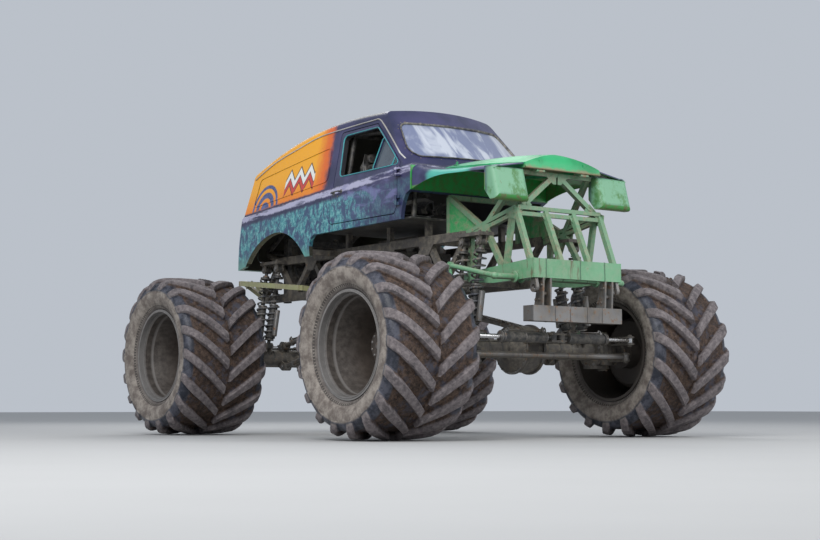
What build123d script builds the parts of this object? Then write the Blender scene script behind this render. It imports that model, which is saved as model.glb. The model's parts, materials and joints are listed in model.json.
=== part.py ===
"""Monster truck: an old steel panel van's body, cut high, on a welded tube chassis with planetary axles.

Millimetres, +X to the front, +Y to the left, +Z up.
The origin is on the ground, under the middle of the wheelbase.
"""
import os
from math import asin, degrees

from build123d import *

# Wheels
WHEELBASE = 3350
TRACK = 2900
TYRE_D = 1560
TYRE_W = 900
TREAD_DEPTH = 70
TYRE_SIDES = 16
LUG_ROWS = 18
LUG_SWEEP = 335
LUG_IN_W = 88
LUG_OUT_W = 104
LUG_START = 18
LUG_SHOULDER_IN = 72
LUG_FOOT_IN = 1
LUG_FOOT_DOWN = 140
LUG_ROOT_DOWN = 180
BEAD_IN = 35
BULGE_UP = 160
SHOULDER_IN = 32
RIM_D = 880
RIM_W = 760
RIM_LIP = 14
RIM_WALL = 12
DISH_R = 300
DISH_IN = 110
HUB_R = 150
HUB_NOSE = 60
FIT = 0.3

# Axles and steering, from the axle's centre
KINGPIN_Y = 980
AXLE_TUBE_R = 82
DIFF_R = 205
YOKE_IN = 130
YOKE_HIGH = 130
YOKE_PLATE = 28
YOKE_TIP_R = 60
KNUCKLE_R = 105
KINGPIN_R = 30
SPINDLE_R = 70
SPINDLE_OUT = 1335
PINION_REACH = 330
ANCHOR_X = 480
STEER_PIN = (420, -60)
STEER_PIN_Z = 85
TIE_PIN = (300, 0)
TIE_PIN_Z = -60
TIE_R = 28
PIN_R = 16
EYE_R = 36
EYE_LONG = 44
EAR = 14
LUG_PLATE = 12
ARM_TIP_R = 40
CYLINDER_R = 44
PISTON_ROD_R = 20
BARREL_LONG = 520
GLAND_LONG = 30
ROD_HIDDEN = 340
LINKS = (
    # axle end (inward, y, up from the axle), chassis end (inward, y, z); inward is toward the truck's middle
    ((70, 420, 125), (1560, 300, 1235)),
    ((95, 420, -90), (1560, 300, 1065)),
)
LINK_R = 25
LINK_EYE_R = 42
LINK_EYE_LONG = 60
SHOCKS = (
    # lower eye (inward, y, up from the axle), upper eye (inward, y, z)
    ((-105, 640, 120), (-120, 530, 1690)),
    ((105, 640, 120), (120, 530, 1690)),
)
SHOCK_EYE_R = 30
SHOCK_EYE_LONG = 50

# Body, heights from the ground
WALL = 40
SHEET = 10
SHUT_GAP = 8
BODY_REAR_X = -2030
BODY_TAIL_Z = 1700
COWL_X = 1135
COWL_Z = 2440
LEDGE = 22
SCREEN_RAKE_Z = 2512
SCREEN_CENTRE_X = 1120
SCREEN_SIDE = (954, 702)
HINGE_R = 14
HINGE_PIN_R = 7
HINGE_OUT = 24
STATIONS = (
    # x, belt_z, belt_y, bulge_y, cant_z, cant_y, edge_z, edge_y, crown_z
    (-2060, 2249, 726, 752, 2560, 655, 2650, 572, 2672),
    (-1450, 2286, 745, 785, 2765, 648, 2852, 566, 2880),
    (-600, 2338, 762, 806, 2925, 640, 3012, 560, 3044),
    (300, 2393, 775, 804, 2955, 634, 3036, 552, 3068),
    (1200, 2440, 778, 796, 2900, 625, 2985, 540, 3010),
)
BODY_BASE_Z = 1500
BULGE_Z = 1950
DOOR = [(-185, 2002), (-175, 2360), (-205, 2912), (402, 2918), (930, 2474), (930, 2090), (880, 2002)]
DOOR_WINDOW = [(-77, 2466), (-129, 2859), (417, 2867), (900, 2466)]
VENT = [(486, 2466), (553, 2753), (900, 2466)]
DIVIDER = 18
SWAGE = [(-1760, 2330), (-1700, 2640), (-330, 2800), (-300, 2440)]
SWAGE_W = 16
SWAGE_PROUD = 5
SCREEN_OPENING = [(-672, 2534), (-572, 2884), (572, 2884), (672, 2534)]
# the rear doors' outlines are (y, up the leaning face)
REAR_DOOR = [(10, 100), (10, 874), (545, 874), (545, 100)]
REAR_DOOR_WINDOW = [(130, 640), (130, 814), (430, 814), (430, 640)]
DOOR_AXIS_X = 934
DOOR_AXIS_Y = 826
REAR_AXIS_Y = 545
REAR_AXIS_OUT = 20
REAR_LEAN = Vector(172, 0, 918).normalized()
REAR_OUT = Vector(-918, 0, 172).normalized()

# Bonnet, wings and nose pods
BONNET_Y = 424
BONNET_REAR_X = 1143
BONNET_NOSE_X = 2262
BONNET_SHEET = 14
BONNET_LEAF = 72
NOSE_BAR_Z = 2266
BONNET_AXIS = (2243, 2274)
WING_ROWS = (
    # x, inner_z, top_z, outer_y
    (COWL_X + FIT, 2418, 2424, 790),
    (1420, 2388, 2345, 788),
    (1870, 2362, 2309, 780),
    (2240, 2332, 2287, 768),
)
WING_IN_Y = 430
POD_REAR_X = 2128
POD_IN_Y = 408
POD_OUT_Y = 768
POD_LOW_Z = 1999
POD_TOP_Z = 2284
POD_SHEET = 12

# Chassis
RAIL_Y = 430
RAIL_LOW_Z = 1400
RAIL_HIGH_Z = 1780
RAIL_SIZE = 80
RAIL_WIDE = 60
BRACE_SIZE = 50
CHASSIS_REAR_X = -1980
CHASSIS_FRONT_X = 1500
CAGE_R = 24
CAGE_HOOP_X = -150
FLOOR_Z = 1955
FLOOR_THICK = 16
OUTRIGGER_Y = 762
LOOP_REAR_X = -2190
LOOP_Z = 1580
LOOP_Y = 600
ENGINE_Z = RAIL_LOW_Z + 30 + FIT
ENGINE_DECK_Z = 1745
TOW_BORE_R = 24
TOW_LONG = 30
TOW_FRONT_Y = 455
TOW_REAR_Y = 200
TOW_PLATE_R = 42
TOW_DROP = 80
UPPER_CORNER = (2195, 470, 1930)
LOWER_CORNER = (2405, 470, 1425)
ROLL_BAR_R = 26
ROLL_BAR = (
    # x, y, z: end of the cross bar, arm's end, drop link's foot
    (2197, 720, 1362), (1600, 720, 1490), (1640, 720, 905),
)
ROLL_EYE_R = 32
ROLL_EYE_LONG = 34
SKID_Z = 1050
SKID_SIZE = 130
SKID_Y = 500

# Cab
SEAT_Y = -330
SEAT_REAR_X = 72
STEER_WHEEL_AT = (640, SEAT_Y, 2400)

AXLE_Z = TYRE_D / 2
RIM_R = RIM_D / 2


# Shapes used all over

def bar(start, end, radius):
    """Round bar between two points."""
    run = Vector(*end) - Vector(*start)
    return Solid.make_cylinder(radius, run.length, Plane(origin=start, z_dir=run))


def square_bar(start, end, wide, deep=None):
    """Rectangular bar between two points, wide across Y where it doesn't run along Y."""
    run = Vector(*end) - Vector(*start)
    across = Vector(1, 0, 0) if abs(run.Y) > 0.8 * run.length else Vector(0, 1, 0)
    across = across - run * (across.dot(run) / run.length ** 2)
    plane = Plane(origin=start, x_dir=across, z_dir=run)
    return extrude(plane * Rectangle(wide, deep or wide), run.length)


def block(low, high):
    """Box between two corners."""
    size = [b - a for a, b in zip(low, high)]
    middle = [(a + b) / 2 for a, b in zip(low, high)]
    return Pos(*middle) * Box(*size)


def joined(shapes):
    return Part() + list(shapes)


def mirrored(shape):
    """The same piece on the other side of the truck."""
    return mirror(shape, about=Plane.XZ)


def both_sides(shape):
    return joined([shape, mirrored(shape)])


def turned_about_y(profile, at):
    """Body of revolution about an axle line through at; the profile holds (out, radius) points."""
    face = make_face(Polyline(*profile, close=True))
    plane = Plane(origin=at, x_dir=(0, 1, 0), z_dir=(1, 0, 0))
    return revolve(plane * face, Axis(at, (0, 1, 0)))


def side_prism(outline, low_y=-1000, high_y=1000):
    """Side view outline, a face in X and Z, run across the truck."""
    face = Plane(origin=(0, high_y, 0), x_dir=(1, 0, 0), z_dir=(0, -1, 0)) * outline
    return extrude(face, high_y - low_y)


def front_prism(outline, low_x, high_x):
    """Front view outline, a face in Y and Z, run along the truck."""
    face = Plane(origin=(low_x, 0, 0), x_dir=(0, 1, 0), z_dir=(1, 0, 0)) * outline
    return extrude(face, high_x - low_x)


def rounded_outline(points, radius):
    return fillet(make_face(Polyline(*points, close=True)).vertices(), radius)


def end_eye(at, radius=EYE_R, long=EYE_LONG, along=(0, 1, 0)):
    """Eye at a rod's end, across the rod."""
    line = Vector(*along)
    start = Vector(*at) - line * (long / 2)
    return bar(tuple(start), tuple(start + line * long), radius)


def eye_rod(start, end, radius, eye_r, eye_long, pin_r, along=(0, 1, 0), neck=0):
    """Rod with a bored eye at each end, thinner over a neck beside each eye."""
    line = (Vector(*end) - Vector(*start)).normalized()
    thick = bar(tuple(Vector(*start) + line * neck), tuple(Vector(*end) - line * neck), radius)
    thin = bar(start, end, min(radius, eye_long / 2 - 4))
    rod = joined([thick, thin] + [end_eye(at, eye_r, eye_long, along) for at in (start, end)])
    for at in (start, end):
        rod -= end_eye(at, pin_r + FIT, eye_long + 2, along)
    return rod


def ears_y(at, reach, half, thick, gap, pin_r):
    """Two ears across Y with the pin between them; reach is where they are rooted."""
    x, y, z = at
    root_x, root_z = reach
    shapes = []
    for side in (-1, 1):
        inner = y + side * (gap / 2 + FIT)
        outer = inner + side * thick
        low, high = min(inner, outer), max(inner, outer)
        middle = (low + high) / 2
        shapes.append(square_bar((x, middle, z), (root_x, middle, root_z), thick, 2 * half))
        shapes.append(bar((x, low, z), (x, high, z), half))
    shapes.append(bar((x, y - gap / 2 - thick, z), (x, y + gap / 2 + thick, z), pin_r))
    return joined(shapes)


# Wheels

WHEELS = {
    # name: (axle's x, side)
    "front_right": (WHEELBASE / 2, -1),
    "front_left": (WHEELBASE / 2, 1),
    "rear_right": (-WHEELBASE / 2, -1),
    "rear_left": (-WHEELBASE / 2, 1),
}


def tyre_ring(out, flat_r):
    """Even-sided outline of the tyre, square to the axle line, flat_r from it to each side's middle."""
    plane = Plane(origin=(0, out, 0), x_dir=(1, 0, 0), z_dir=(0, -1, 0))
    return plane * RegularPolygon(flat_r, TYRE_SIDES, major_radius=False)


def tyre_carcass():
    half = TYRE_W / 2
    seat = RIM_R + FIT
    bulge = seat + BULGE_UP
    outer = (
        # out from the tyre's middle, radius
        (half, bulge), (half - SHOULDER_IN, TYRE_D / 2 - TREAD_DEPTH),
    )
    inner = ((half, bulge), (RIM_W / 2 - BEAD_IN, seat))

    def body(profile):
        rows = [(-out, r) for out, r in profile] + [(out, r) for out, r in reversed(profile)]
        return joined(loft([tyre_ring(*a), tyre_ring(*b)], ruled=True) for a, b in zip(rows, rows[1:]))

    return body(outer) - body(inner)


def lug(corner):
    """Left lug pointing forward, swept up from the tread's middle to the shoulder.

    corner is how far its inner end's lower corner lies below the axle.
    """
    half = TYRE_W / 2
    flat = ((TYRE_D / 2) ** 2 - corner ** 2) ** 0.5
    root = TYRE_D / 2 - LUG_ROOT_DOWN
    foot_out = half - LUG_FOOT_IN
    plan = make_face(Polyline(
        (LUG_START, -corner), (LUG_START, -corner + LUG_IN_W),
        (half, LUG_SWEEP / 2 + LUG_OUT_W / 2), (half, LUG_SWEEP / 2 - LUG_OUT_W / 2), close=True))
    side = make_face(Polyline(
        (LUG_START - 5, root), (LUG_START - 5, flat), (half - LUG_SHOULDER_IN, flat),
        (foot_out, TYRE_D / 2 - LUG_FOOT_DOWN), (foot_out - 12, root), close=True))
    bar_up = extrude(Plane(origin=(root - 5, 0, 0), x_dir=(0, 1, 0), z_dir=(1, 0, 0)) * plan, flat)
    bar_across = extrude(Plane(origin=(0, 0, flat / 2), x_dir=(0, 1, 0), z_dir=(0, 0, -1)) * side, flat)
    return bar_up & bar_across


def tyre():
    """Left tyre at the axle's centre line: flat-sided carcass and two staggered rows of lugs.

    One lug's corner points straight down, so the tyre stands on it.
    """
    corner = LUG_SWEEP / 2 + LUG_IN_W / 2
    left = lug(corner)
    right = mirrored(left)
    pitch = 360 / LUG_ROWS
    first = 90 - degrees(asin(2 * corner / TYRE_D))
    lugs = []
    for i in range(LUG_ROWS):
        lugs.append(Rot(0, first + i * pitch, 0) * left)
        lugs.append(Rot(0, first + (i + 0.5) * pitch, 0) * right)
    return Pos(0, TRACK / 2, AXLE_Z) * (tyre_carcass() + lugs)


def rim():
    """Left rim: barrel, outer and inner lips, deep dish and closed planetary hub."""
    half = RIM_W / 2
    inside = RIM_R - RIM_WALL
    dish = -DISH_IN
    hub_back = -250
    profile = [
        (-half, RIM_R + RIM_LIP), (-half + 16, RIM_R + RIM_LIP), (-half + 16, RIM_R),
        (half - 16, RIM_R), (half - 16, RIM_R + RIM_LIP), (half, RIM_R + RIM_LIP),
        (half, inside), (half - 50, inside), (half - 62, inside - 20), (half - 130, inside - 24),
        (dish + 20, DISH_R + 10), (dish, DISH_R - 20), (dish, HUB_R),
        (HUB_NOSE, HUB_R - 20), (HUB_NOSE + 14, HUB_R - 50), (HUB_NOSE + 14, 0),
        (SPINDLE_OUT - TRACK / 2 + 6, 0), (SPINDLE_OUT - TRACK / 2 + 6, SPINDLE_R + 0.5),
        (hub_back, SPINDLE_R + 0.5), (hub_back, HUB_R), (dish - 16, HUB_R),
        (dish - 16, DISH_R - 8), (dish + 8, DISH_R + 22), (half - 142, inside - 10),
        (half - 150, inside), (-half, inside),
    ]
    return turned_about_y(profile, (0, TRACK / 2, AXLE_Z))


def placed(shape, axle_x, side):
    """A piece made for the front left corner, moved to the axle and side that it belongs to."""
    if axle_x < 0:
        shape = mirror(shape, about=Plane.YZ)
    if side < 0:
        shape = mirrored(shape)
    return Pos(axle_x, 0, 0) * shape


# Steering knuckles, tie rods and cylinders, for a left corner whose axle is at x = 0

def knuckle():
    """Knuckle with its kingpin, spindle and the forward arm that carries both steering pins."""
    low, high = AXLE_Z - YOKE_HIGH + 5, AXLE_Z + YOKE_HIGH - 5
    body = bar((0, KINGPIN_Y, low), (0, KINGPIN_Y, high), KNUCKLE_R)
    kingpin = bar((0, KINGPIN_Y, low - YOKE_PLATE - 10), (0, KINGPIN_Y, high + YOKE_PLATE + 10), KINGPIN_R)
    spindle = bar((0, KINGPIN_Y, AXLE_Z), (0, SPINDLE_OUT, AXLE_Z), SPINDLE_R)
    flange = bar((0, KINGPIN_Y + 60, AXLE_Z), (0, KINGPIN_Y + 125, AXLE_Z), 125)
    shapes = [body, kingpin, spindle, flange]
    for (pin_x, pin_y), pin_z, eye in ((STEER_PIN, STEER_PIN_Z, EYE_LONG), (TIE_PIN, TIE_PIN_Z, EYE_LONG)):
        at_y = KINGPIN_Y + pin_y
        for side in (-1, 1):
            z = AXLE_Z + pin_z + side * (eye / 2 + FIT + EAR / 2)
            shapes.append(extrude(
                Pos(0, 0, z - EAR / 2) * make_hull(
                    (Pos(pin_x, at_y) * Circle(ARM_TIP_R)).edges()
                    + (Pos(80, KINGPIN_Y + 15) * Circle(45)).edges()), EAR))
        if pin_z == TIE_PIN_Z:
            shapes.append(bar((pin_x, at_y, AXLE_Z + pin_z - eye / 2 - EAR),
                              (pin_x, at_y, AXLE_Z + pin_z + eye / 2 + EAR), PIN_R))
    web = block((60, KINGPIN_Y - 30, AXLE_Z - 95), (150, KINGPIN_Y + 30, AXLE_Z + 120))
    clear = block((60, KINGPIN_Y - 90, AXLE_Z + STEER_PIN_Z - EYE_LONG / 2),
                  (150, KINGPIN_Y + 90, AXLE_Z + STEER_PIN_Z + EYE_LONG / 2))
    return joined(shapes + [web - clear])


def tie_rod():
    """Tie rod from the left knuckle's pin to the right one's."""
    x, z = TIE_PIN[0], AXLE_Z + TIE_PIN_Z
    start, end = (x, KINGPIN_Y + TIE_PIN[1], z), (x, -KINGPIN_Y - TIE_PIN[1], z)
    return eye_rod(start, end, TIE_R, EYE_R, EYE_LONG, PIN_R, (0, 0, 1), ARM_TIP_R + 20)


def cylinder_ends():
    """Anchor on the axle's bracket and the eye at the knuckle, at rest."""
    z = AXLE_Z + STEER_PIN_Z
    return Vector(ANCHOR_X, 45, z), Vector(STEER_PIN[0], KINGPIN_Y + STEER_PIN[1], z)


def cylinder_barrel():
    start, end = cylinder_ends()
    line = (end - start).normalized()
    neck = bar(tuple(start), tuple(start + line * 90), 18)
    gland_at = start + line * BARREL_LONG
    shell = bar(tuple(start + line * 80), tuple(gland_at), CYLINDER_R)
    gland = bar(tuple(gland_at), tuple(gland_at + line * GLAND_LONG), CYLINDER_R + 6)
    eye = end_eye(tuple(start), EYE_R, EYE_LONG, (0, 0, 1))
    shape = joined([neck, shell, gland, eye])
    shape -= end_eye(tuple(start), PIN_R + FIT, 200, (0, 0, 1))
    bore_end = gland_at + line * (GLAND_LONG + 50)
    return shape - bar(tuple(start + line * 120), tuple(bore_end), PISTON_ROD_R + FIT)


def cylinder_rod():
    start, end = cylinder_ends()
    line = (end - start).normalized()
    rod = bar(tuple(start + line * ROD_HIDDEN), tuple(end - line * 20), PISTON_ROD_R)
    eye = end_eye(tuple(end), EYE_R - 4, EYE_LONG - 8, (0, 0, 1))
    return joined([rod, eye])


def axle():
    """Front axle housing at x = 0; toward the truck's middle is -X."""
    tube_end = KINGPIN_Y - YOKE_IN
    differential = [
        # out, radius
        (-190, 0), (-190, AXLE_TUBE_R), (-110, DIFF_R), (110, DIFF_R), (190, AXLE_TUBE_R), (190, 0),
    ]
    shapes = [
        turned_about_y(differential, (0, 0, AXLE_Z)),
        bar((0, -tube_end, AXLE_Z), (0, tube_end, AXLE_Z), AXLE_TUBE_R),
        bar((-120, 0, AXLE_Z), (-PINION_REACH + 30, 0, AXLE_Z), 95),
        bar((-PINION_REACH + 30, 0, AXLE_Z), (-PINION_REACH, 0, AXLE_Z), 60),
    ]
    for side in (-1, 1):
        shapes.append(bar((0, side * (tube_end - 30), AXLE_Z), (0, side * tube_end, AXLE_Z), 150))
        for up in (-1, 1):
            z = AXLE_Z + up * (YOKE_HIGH + YOKE_PLATE / 2)
            plate = make_hull((Pos(0, side * KINGPIN_Y) * Circle(YOKE_TIP_R)).edges()
                              + (Pos(0, side * (tube_end - 20)) * Rectangle(170, 20)).edges())
            shapes.append(extrude(Pos(0, 0, z - YOKE_PLATE / 2) * plate, YOKE_PLATE))
    housing = joined(shapes)
    for side in (-1, 1):
        housing -= bar((0, side * KINGPIN_Y, 0), (0, side * KINGPIN_Y, 2 * AXLE_Z), KINGPIN_R + FIT)
    bracket_z = AXLE_Z + STEER_PIN_Z
    ear_z = EYE_LONG / 2 + FIT
    extras = []
    for up in (-1, 1):
        z = bracket_z + up * (ear_z + EAR / 2)
        tip = Pos(ANCHOR_X, 0) * Rectangle(70, 170)
        root = Pos(120, 0) * Rectangle(40, 260)
        extras.append(extrude(Pos(0, 0, z - EAR / 2) * make_hull(tip.edges() + root.edges()), EAR))
    for side in (-1, 1):
        extras.append(bar((ANCHOR_X, side * 45, bracket_z - ear_z - EAR),
                          (ANCHOR_X, side * 45, bracket_z + ear_z + EAR), PIN_R))
    extras.append(block((100, -130, AXLE_Z + 20), (150, 130, bracket_z + ear_z + EAR)))
    for (inward, y, up), _ in LINKS:
        for side in (-1, 1):
            pin_at = (-inward, side * y, AXLE_Z + up)
            extras.append(ears_y(pin_at, (0, AXLE_Z + up * 0.4), LINK_EYE_R, LUG_PLATE, LINK_EYE_LONG, PIN_R))
    for (inward, y, up), _ in SHOCKS:
        for side in (-1, 1):
            pin_at = (-inward, side * y, AXLE_Z + up)
            root = (-inward * 0.4, AXLE_Z + 20)
            extras.append(ears_y(pin_at, root, SHOCK_EYE_R, LUG_PLATE, SHOCK_EYE_LONG, PIN_R))
    return joined([housing] + extras)


def axle_links():
    """Four trailing links of the front axle, at x = 0."""
    rods = []
    for (x0, y0, up), (x1, y1, z1) in LINKS:
        for side in (-1, 1):
            start, end = (-x0, side * y0, AXLE_Z + up), (-x1, side * y1, z1)
            rods.append(eye_rod(start, end, LINK_R, LINK_EYE_R, LINK_EYE_LONG, PIN_R))
    return rods


def shock(low, high):
    """Shock absorber: body, shaft and the two spring seats."""
    low, high = Vector(*low), Vector(*high)
    line = (high - low).normalized()
    length = (high - low).length
    parts = (
        # from, to as shares of the length, radius
        (0.0, 1.0, 18), (0.08, 0.52, 42), (0.1, 0.125, 56), (0.88, 0.905, 56),
    )
    shape = joined([
        *(bar(tuple(low + line * (a * length)), tuple(low + line * (b * length)), r) for a, b, r in parts),
        *(end_eye(tuple(p), SHOCK_EYE_R, SHOCK_EYE_LONG) for p in (low, high)),
    ])
    for p in (low, high):
        shape -= end_eye(tuple(p), PIN_R + FIT, SHOCK_EYE_LONG + 60)
    return shape


def shocks():
    shapes = []
    for (x0, y0, up), (x1, y1, z1) in SHOCKS:
        for side in (-1, 1):
            shapes.append(shock((-x0, side * y0, AXLE_Z + up), (-x1, side * y1, z1)))
    return shapes


# Van body

def body_section(row, inset):
    """Cross-section of the body: bulged lower side, belt ledge, leaning upper side and crowned roof."""
    x, belt_z, belt_y, bulge_y, cant_z, cant_y, edge_z, edge_y, crown_z = row
    foot = (bulge_y - 40 - inset, BODY_BASE_Z)
    bulge = (bulge_y - inset, BULGE_Z)
    shelf = (belt_y + LEDGE - inset, belt_z - 20)
    belt = (belt_y - inset, belt_z)
    cant = (cant_y - inset, cant_z - inset)
    edge = (edge_y - inset / 2, edge_z - inset)
    corner = ((cant[0] + edge[0]) / 2 + 17, (cant[1] + edge[1]) / 2 + 16)
    crown = (0, crown_z - inset)

    def flip(point):
        return (-point[0], point[1])

    lines = [
        Line(flip(foot), foot),
        ThreePointArc(foot, bulge, shelf),
        Line(shelf, belt),
        Line(belt, cant),
        ThreePointArc(cant, corner, edge),
        ThreePointArc(edge, crown, flip(edge)),
        ThreePointArc(flip(edge), flip(corner), flip(cant)),
        Line(flip(cant), flip(belt)),
        Line(flip(belt), flip(shelf)),
        ThreePointArc(flip(shelf), flip(bulge), flip(foot)),
    ]
    return Plane.YZ.offset(x) * make_face(lines)


def screen_tool(back):
    """Everything in front of the curved, raked windscreen surface, moved back by a distance."""
    side_x, side_y = SCREEN_SIDE
    sag = SCREEN_CENTRE_X - side_x
    radius = (side_y ** 2 + sag ** 2) / (2 * sag)
    reach = 900
    far_x = SCREEN_CENTRE_X - radius + (radius ** 2 - reach ** 2) ** 0.5
    drop = SCREEN_RAKE_Z - COWL_Z
    front = 2400
    shift = drop - back
    lines = [
        ThreePointArc((far_x + shift, -reach), (SCREEN_CENTRE_X + shift, 0), (far_x + shift, reach)),
        Line((far_x + shift, reach), (front, reach)),
        Line((front, reach), (front, -reach)),
        Line((front, -reach), (far_x + shift, -reach)),
    ]
    face = Pos(0, 0, COWL_Z) * make_face(lines)
    return extrude(face, 1000, dir=(-1, 0, 1))


def body_outline(inset):
    """Side view of the body, or of its cavity when inset, which is open below."""
    rear_x = BODY_REAR_X
    corner_low = (-1858 + inset, 2618)
    corner_mid = (-1829 + inset, 2705 - inset / 2)
    corner_top = (-1755 + inset, 2762 - inset / 2)
    if inset:
        low = 1400
        slope = (corner_low[0] - rear_x - inset) / (corner_low[1] - BODY_TAIL_Z)
        rear_low = (rear_x + inset - slope * (BODY_TAIL_Z - low), low)
        foot = (COWL_X - inset, low)
        top = (COWL_X - inset, COWL_Z - inset)
        below = [Line(rear_low, foot), Line(foot, top)]
    else:
        rear_low = (rear_x, BODY_TAIL_Z)
        below = [
            Line(rear_low, (-1851, 1728)),
            ThreePointArc((-1851, 1728), (-1640, 1890), (-1300, 2012)),
            ThreePointArc((-1300, 2012), (-930, 1972), (-637, 1736)),
            Line((-637, 1736), (-545, 1738)),
            Line((-545, 1738), (-546, 1800)),
            ThreePointArc((-546, 1800), (-522, 1885), (-460, 1935)),
            Line((-460, 1935), (975, 1950)),
            ThreePointArc((975, 1950), (1003, 2065), (1058, 2168)),
            Line((1058, 2168), (COWL_X, 2204)),
            Line((COWL_X, 2204), (COWL_X, COWL_Z)),
        ]
        top = (COWL_X, COWL_Z)
    over = [
        Line(top, (COWL_X - inset, 3120)),
        Line((COWL_X - inset, 3120), (-1560, 3120)),
        Line((-1560, 3120), corner_top),
        ThreePointArc(corner_top, corner_mid, corner_low),
        Line(corner_low, rear_low),
    ]
    return make_face(below + over)


def body_block(inset):
    """Solid body, or its cavity when inset."""
    hull = loft([body_section(row, inset) for row in STATIONS])
    solid = hull & side_prism(body_outline(inset))
    return solid - screen_tool(inset * 1.414)


def door_prism(gap=0.0):
    outline = fillet(make_face(Polyline(*DOOR, close=True)).vertices(), 45)
    if gap:
        outline = offset(outline, gap, kind=Kind.ARC)
    return side_prism(outline, 400, 1000)


def window_prism():
    """Open part of the door's window and the vent glass's own opening, with the divider between them."""
    whole = rounded_outline(DOOR_WINDOW, 45)
    vent = rounded_outline(VENT, 14)
    divider = offset(vent, DIVIDER, kind=Kind.ARC)
    return side_prism(whole - divider, 300, 1000), side_prism(vent, 300, 1000)


def hinge(at, along, fixed_way, moving_way, reach, out):
    """Hinge with a pin: the fixed knuckles with their leaf, and the moving knuckle with its leaf.

    out points away from the panels; the leaves run back toward them.
    """
    at, along, out = Vector(*at), Vector(*along).normalized(), Vector(*out).normalized()
    fixed_way, moving_way = Vector(*fixed_way).normalized(), Vector(*moving_way).normalized()

    def knuckles(low, high, way):
        foot = at + along * low
        knuckle_bar = bar(tuple(foot), tuple(at + along * high), HINGE_R)
        leaf_at = foot + way * (reach / 2 + HINGE_R / 2) - out * (HINGE_OUT / 2 + 3)
        leaf_plane = Plane(origin=tuple(leaf_at), x_dir=tuple(way), z_dir=tuple(along))
        leaf = extrude(leaf_plane * Rectangle(reach, HINGE_OUT), high - low)
        neck_at = foot + way * (HINGE_R / 2 + 3)
        neck_plane = Plane(origin=tuple(neck_at), x_dir=tuple(way), z_dir=tuple(along))
        neck = extrude(neck_plane * Rectangle(HINGE_R + 6, HINGE_R), high - low)
        return joined([knuckle_bar, leaf, neck])

    pin = bar(tuple(at - along * 45), tuple(at + along * 45), HINGE_PIN_R)
    fixed = joined([knuckles(-45, -18, fixed_way), knuckles(18, 45, fixed_way), pin])
    bore = bar(tuple(at - along * 60), tuple(at + along * 60), HINGE_PIN_R + FIT)
    moving = knuckles(-17.4, 17.4, moving_way) - bore
    return fixed, moving


def rear_face_point(y, z, out=0.0):
    """Point off the leaning rear face at a height."""
    x = BODY_REAR_X + (z - BODY_TAIL_Z) * REAR_LEAN.X / REAR_LEAN.Z
    return tuple(Vector(x, y, z) + REAR_OUT * out)


def rear_prism(outline):
    """Outline on the leaning rear face, run square through it."""
    plane = Plane(origin=rear_face_point(0, BODY_TAIL_Z, 60), x_dir=(0, 1, 0), z_dir=tuple(-REAR_OUT))
    return extrude(plane * outline, 160)


# Front end: bonnet, wings and nose pods

def bonnet_block(inset):
    rows = (
        # x, crown_z, edge_z
        (BONNET_REAR_X - 20 + inset / 4, 2512, 2424),
        (1700, 2496, 2388),
        (BONNET_NOSE_X + 30, 2428, 2330),
    )
    faces = []
    for x, crown_z, edge_z in rows:
        y = BONNET_Y - inset
        edge, far_edge, crown = (y, edge_z - inset), (-y, edge_z - inset), (0, crown_z - inset)
        bulge_y, bulge_z = y * 0.55, edge_z - inset + (crown_z - edge_z) * 0.62
        faces.append(Plane.YZ.offset(x) * make_face([
            ThreePointArc(edge, (bulge_y, bulge_z), crown),
            ThreePointArc(crown, (-bulge_y, bulge_z), far_edge),
            Line(far_edge, (-y, 2150)), Line((-y, 2150), (y, 2150)), Line((y, 2150), edge),
        ]))
    nose = BONNET_NOSE_X - inset
    low = 2292 if not inset else 2100
    rear_low = 2392 if not inset else 2100
    outline = make_face([
        Line((BONNET_REAR_X, rear_low), (2120, low)), Line((2120, low), (nose, low)),
        Line((nose, low), (nose - 6, 2330)),
        ThreePointArc((nose - 6, 2330), (nose - 34, 2398 - inset / 2), (nose - 110, 2448 - inset)),
        Line((nose - 110, 2448 - inset), (nose - 300, 2600)), Line((nose - 300, 2600), (BONNET_REAR_X, 2600)),
        Line((BONNET_REAR_X, 2600), (BONNET_REAR_X, rear_low)),
    ])
    return loft(faces) & side_prism(outline)


def bonnet():
    return bonnet_block(0) - bonnet_block(BONNET_SHEET)


def wing_section(row, inset):
    x, inner_z, top_z, outer_y = row
    inner = (WING_IN_Y - (1 if inset else 0), inner_z - inset)
    top = (outer_y - 90, top_z - inset)
    side = (outer_y - inset, top_z - 70)
    foot = (outer_y - inset, 2100)
    return Plane.YZ.offset(x) * make_face([
        Line(inner, top),
        ThreePointArc(top, (outer_y - 24 - inset * 0.8, top_z - 18 - inset * 0.8), side),
        Line(side, foot), Line(foot, (inner[0], 2100)), Line((inner[0], 2100), inner),
    ])


def wing():
    """Left wing strip over the cut arch, with its nose pod."""
    rows = [list(row) for row in WING_ROWS]
    outer = loft([wing_section(row, 0) for row in rows])
    rows[0][0] -= 5
    rows[-1][0] += 5
    skin = outer - loft([wing_section(row, SHEET) for row in rows])
    arch = make_face([
        Line((COWL_X - 50, 2160), (COWL_X, 2204)),
        ThreePointArc((COWL_X, 2204), (1400, 2268), (1700, 2278)),
        Line((1700, 2278), (2150, 2258)), Line((2150, 2258), (2300, 2258)),
        Line((2300, 2258), (2300, 2000)), Line((2300, 2000), (COWL_X - 50, 2000)),
        Line((COWL_X - 50, 2000), (COWL_X - 50, 2160)),
    ])
    return joined([skin - side_prism(arch), nose_pod()])


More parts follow.
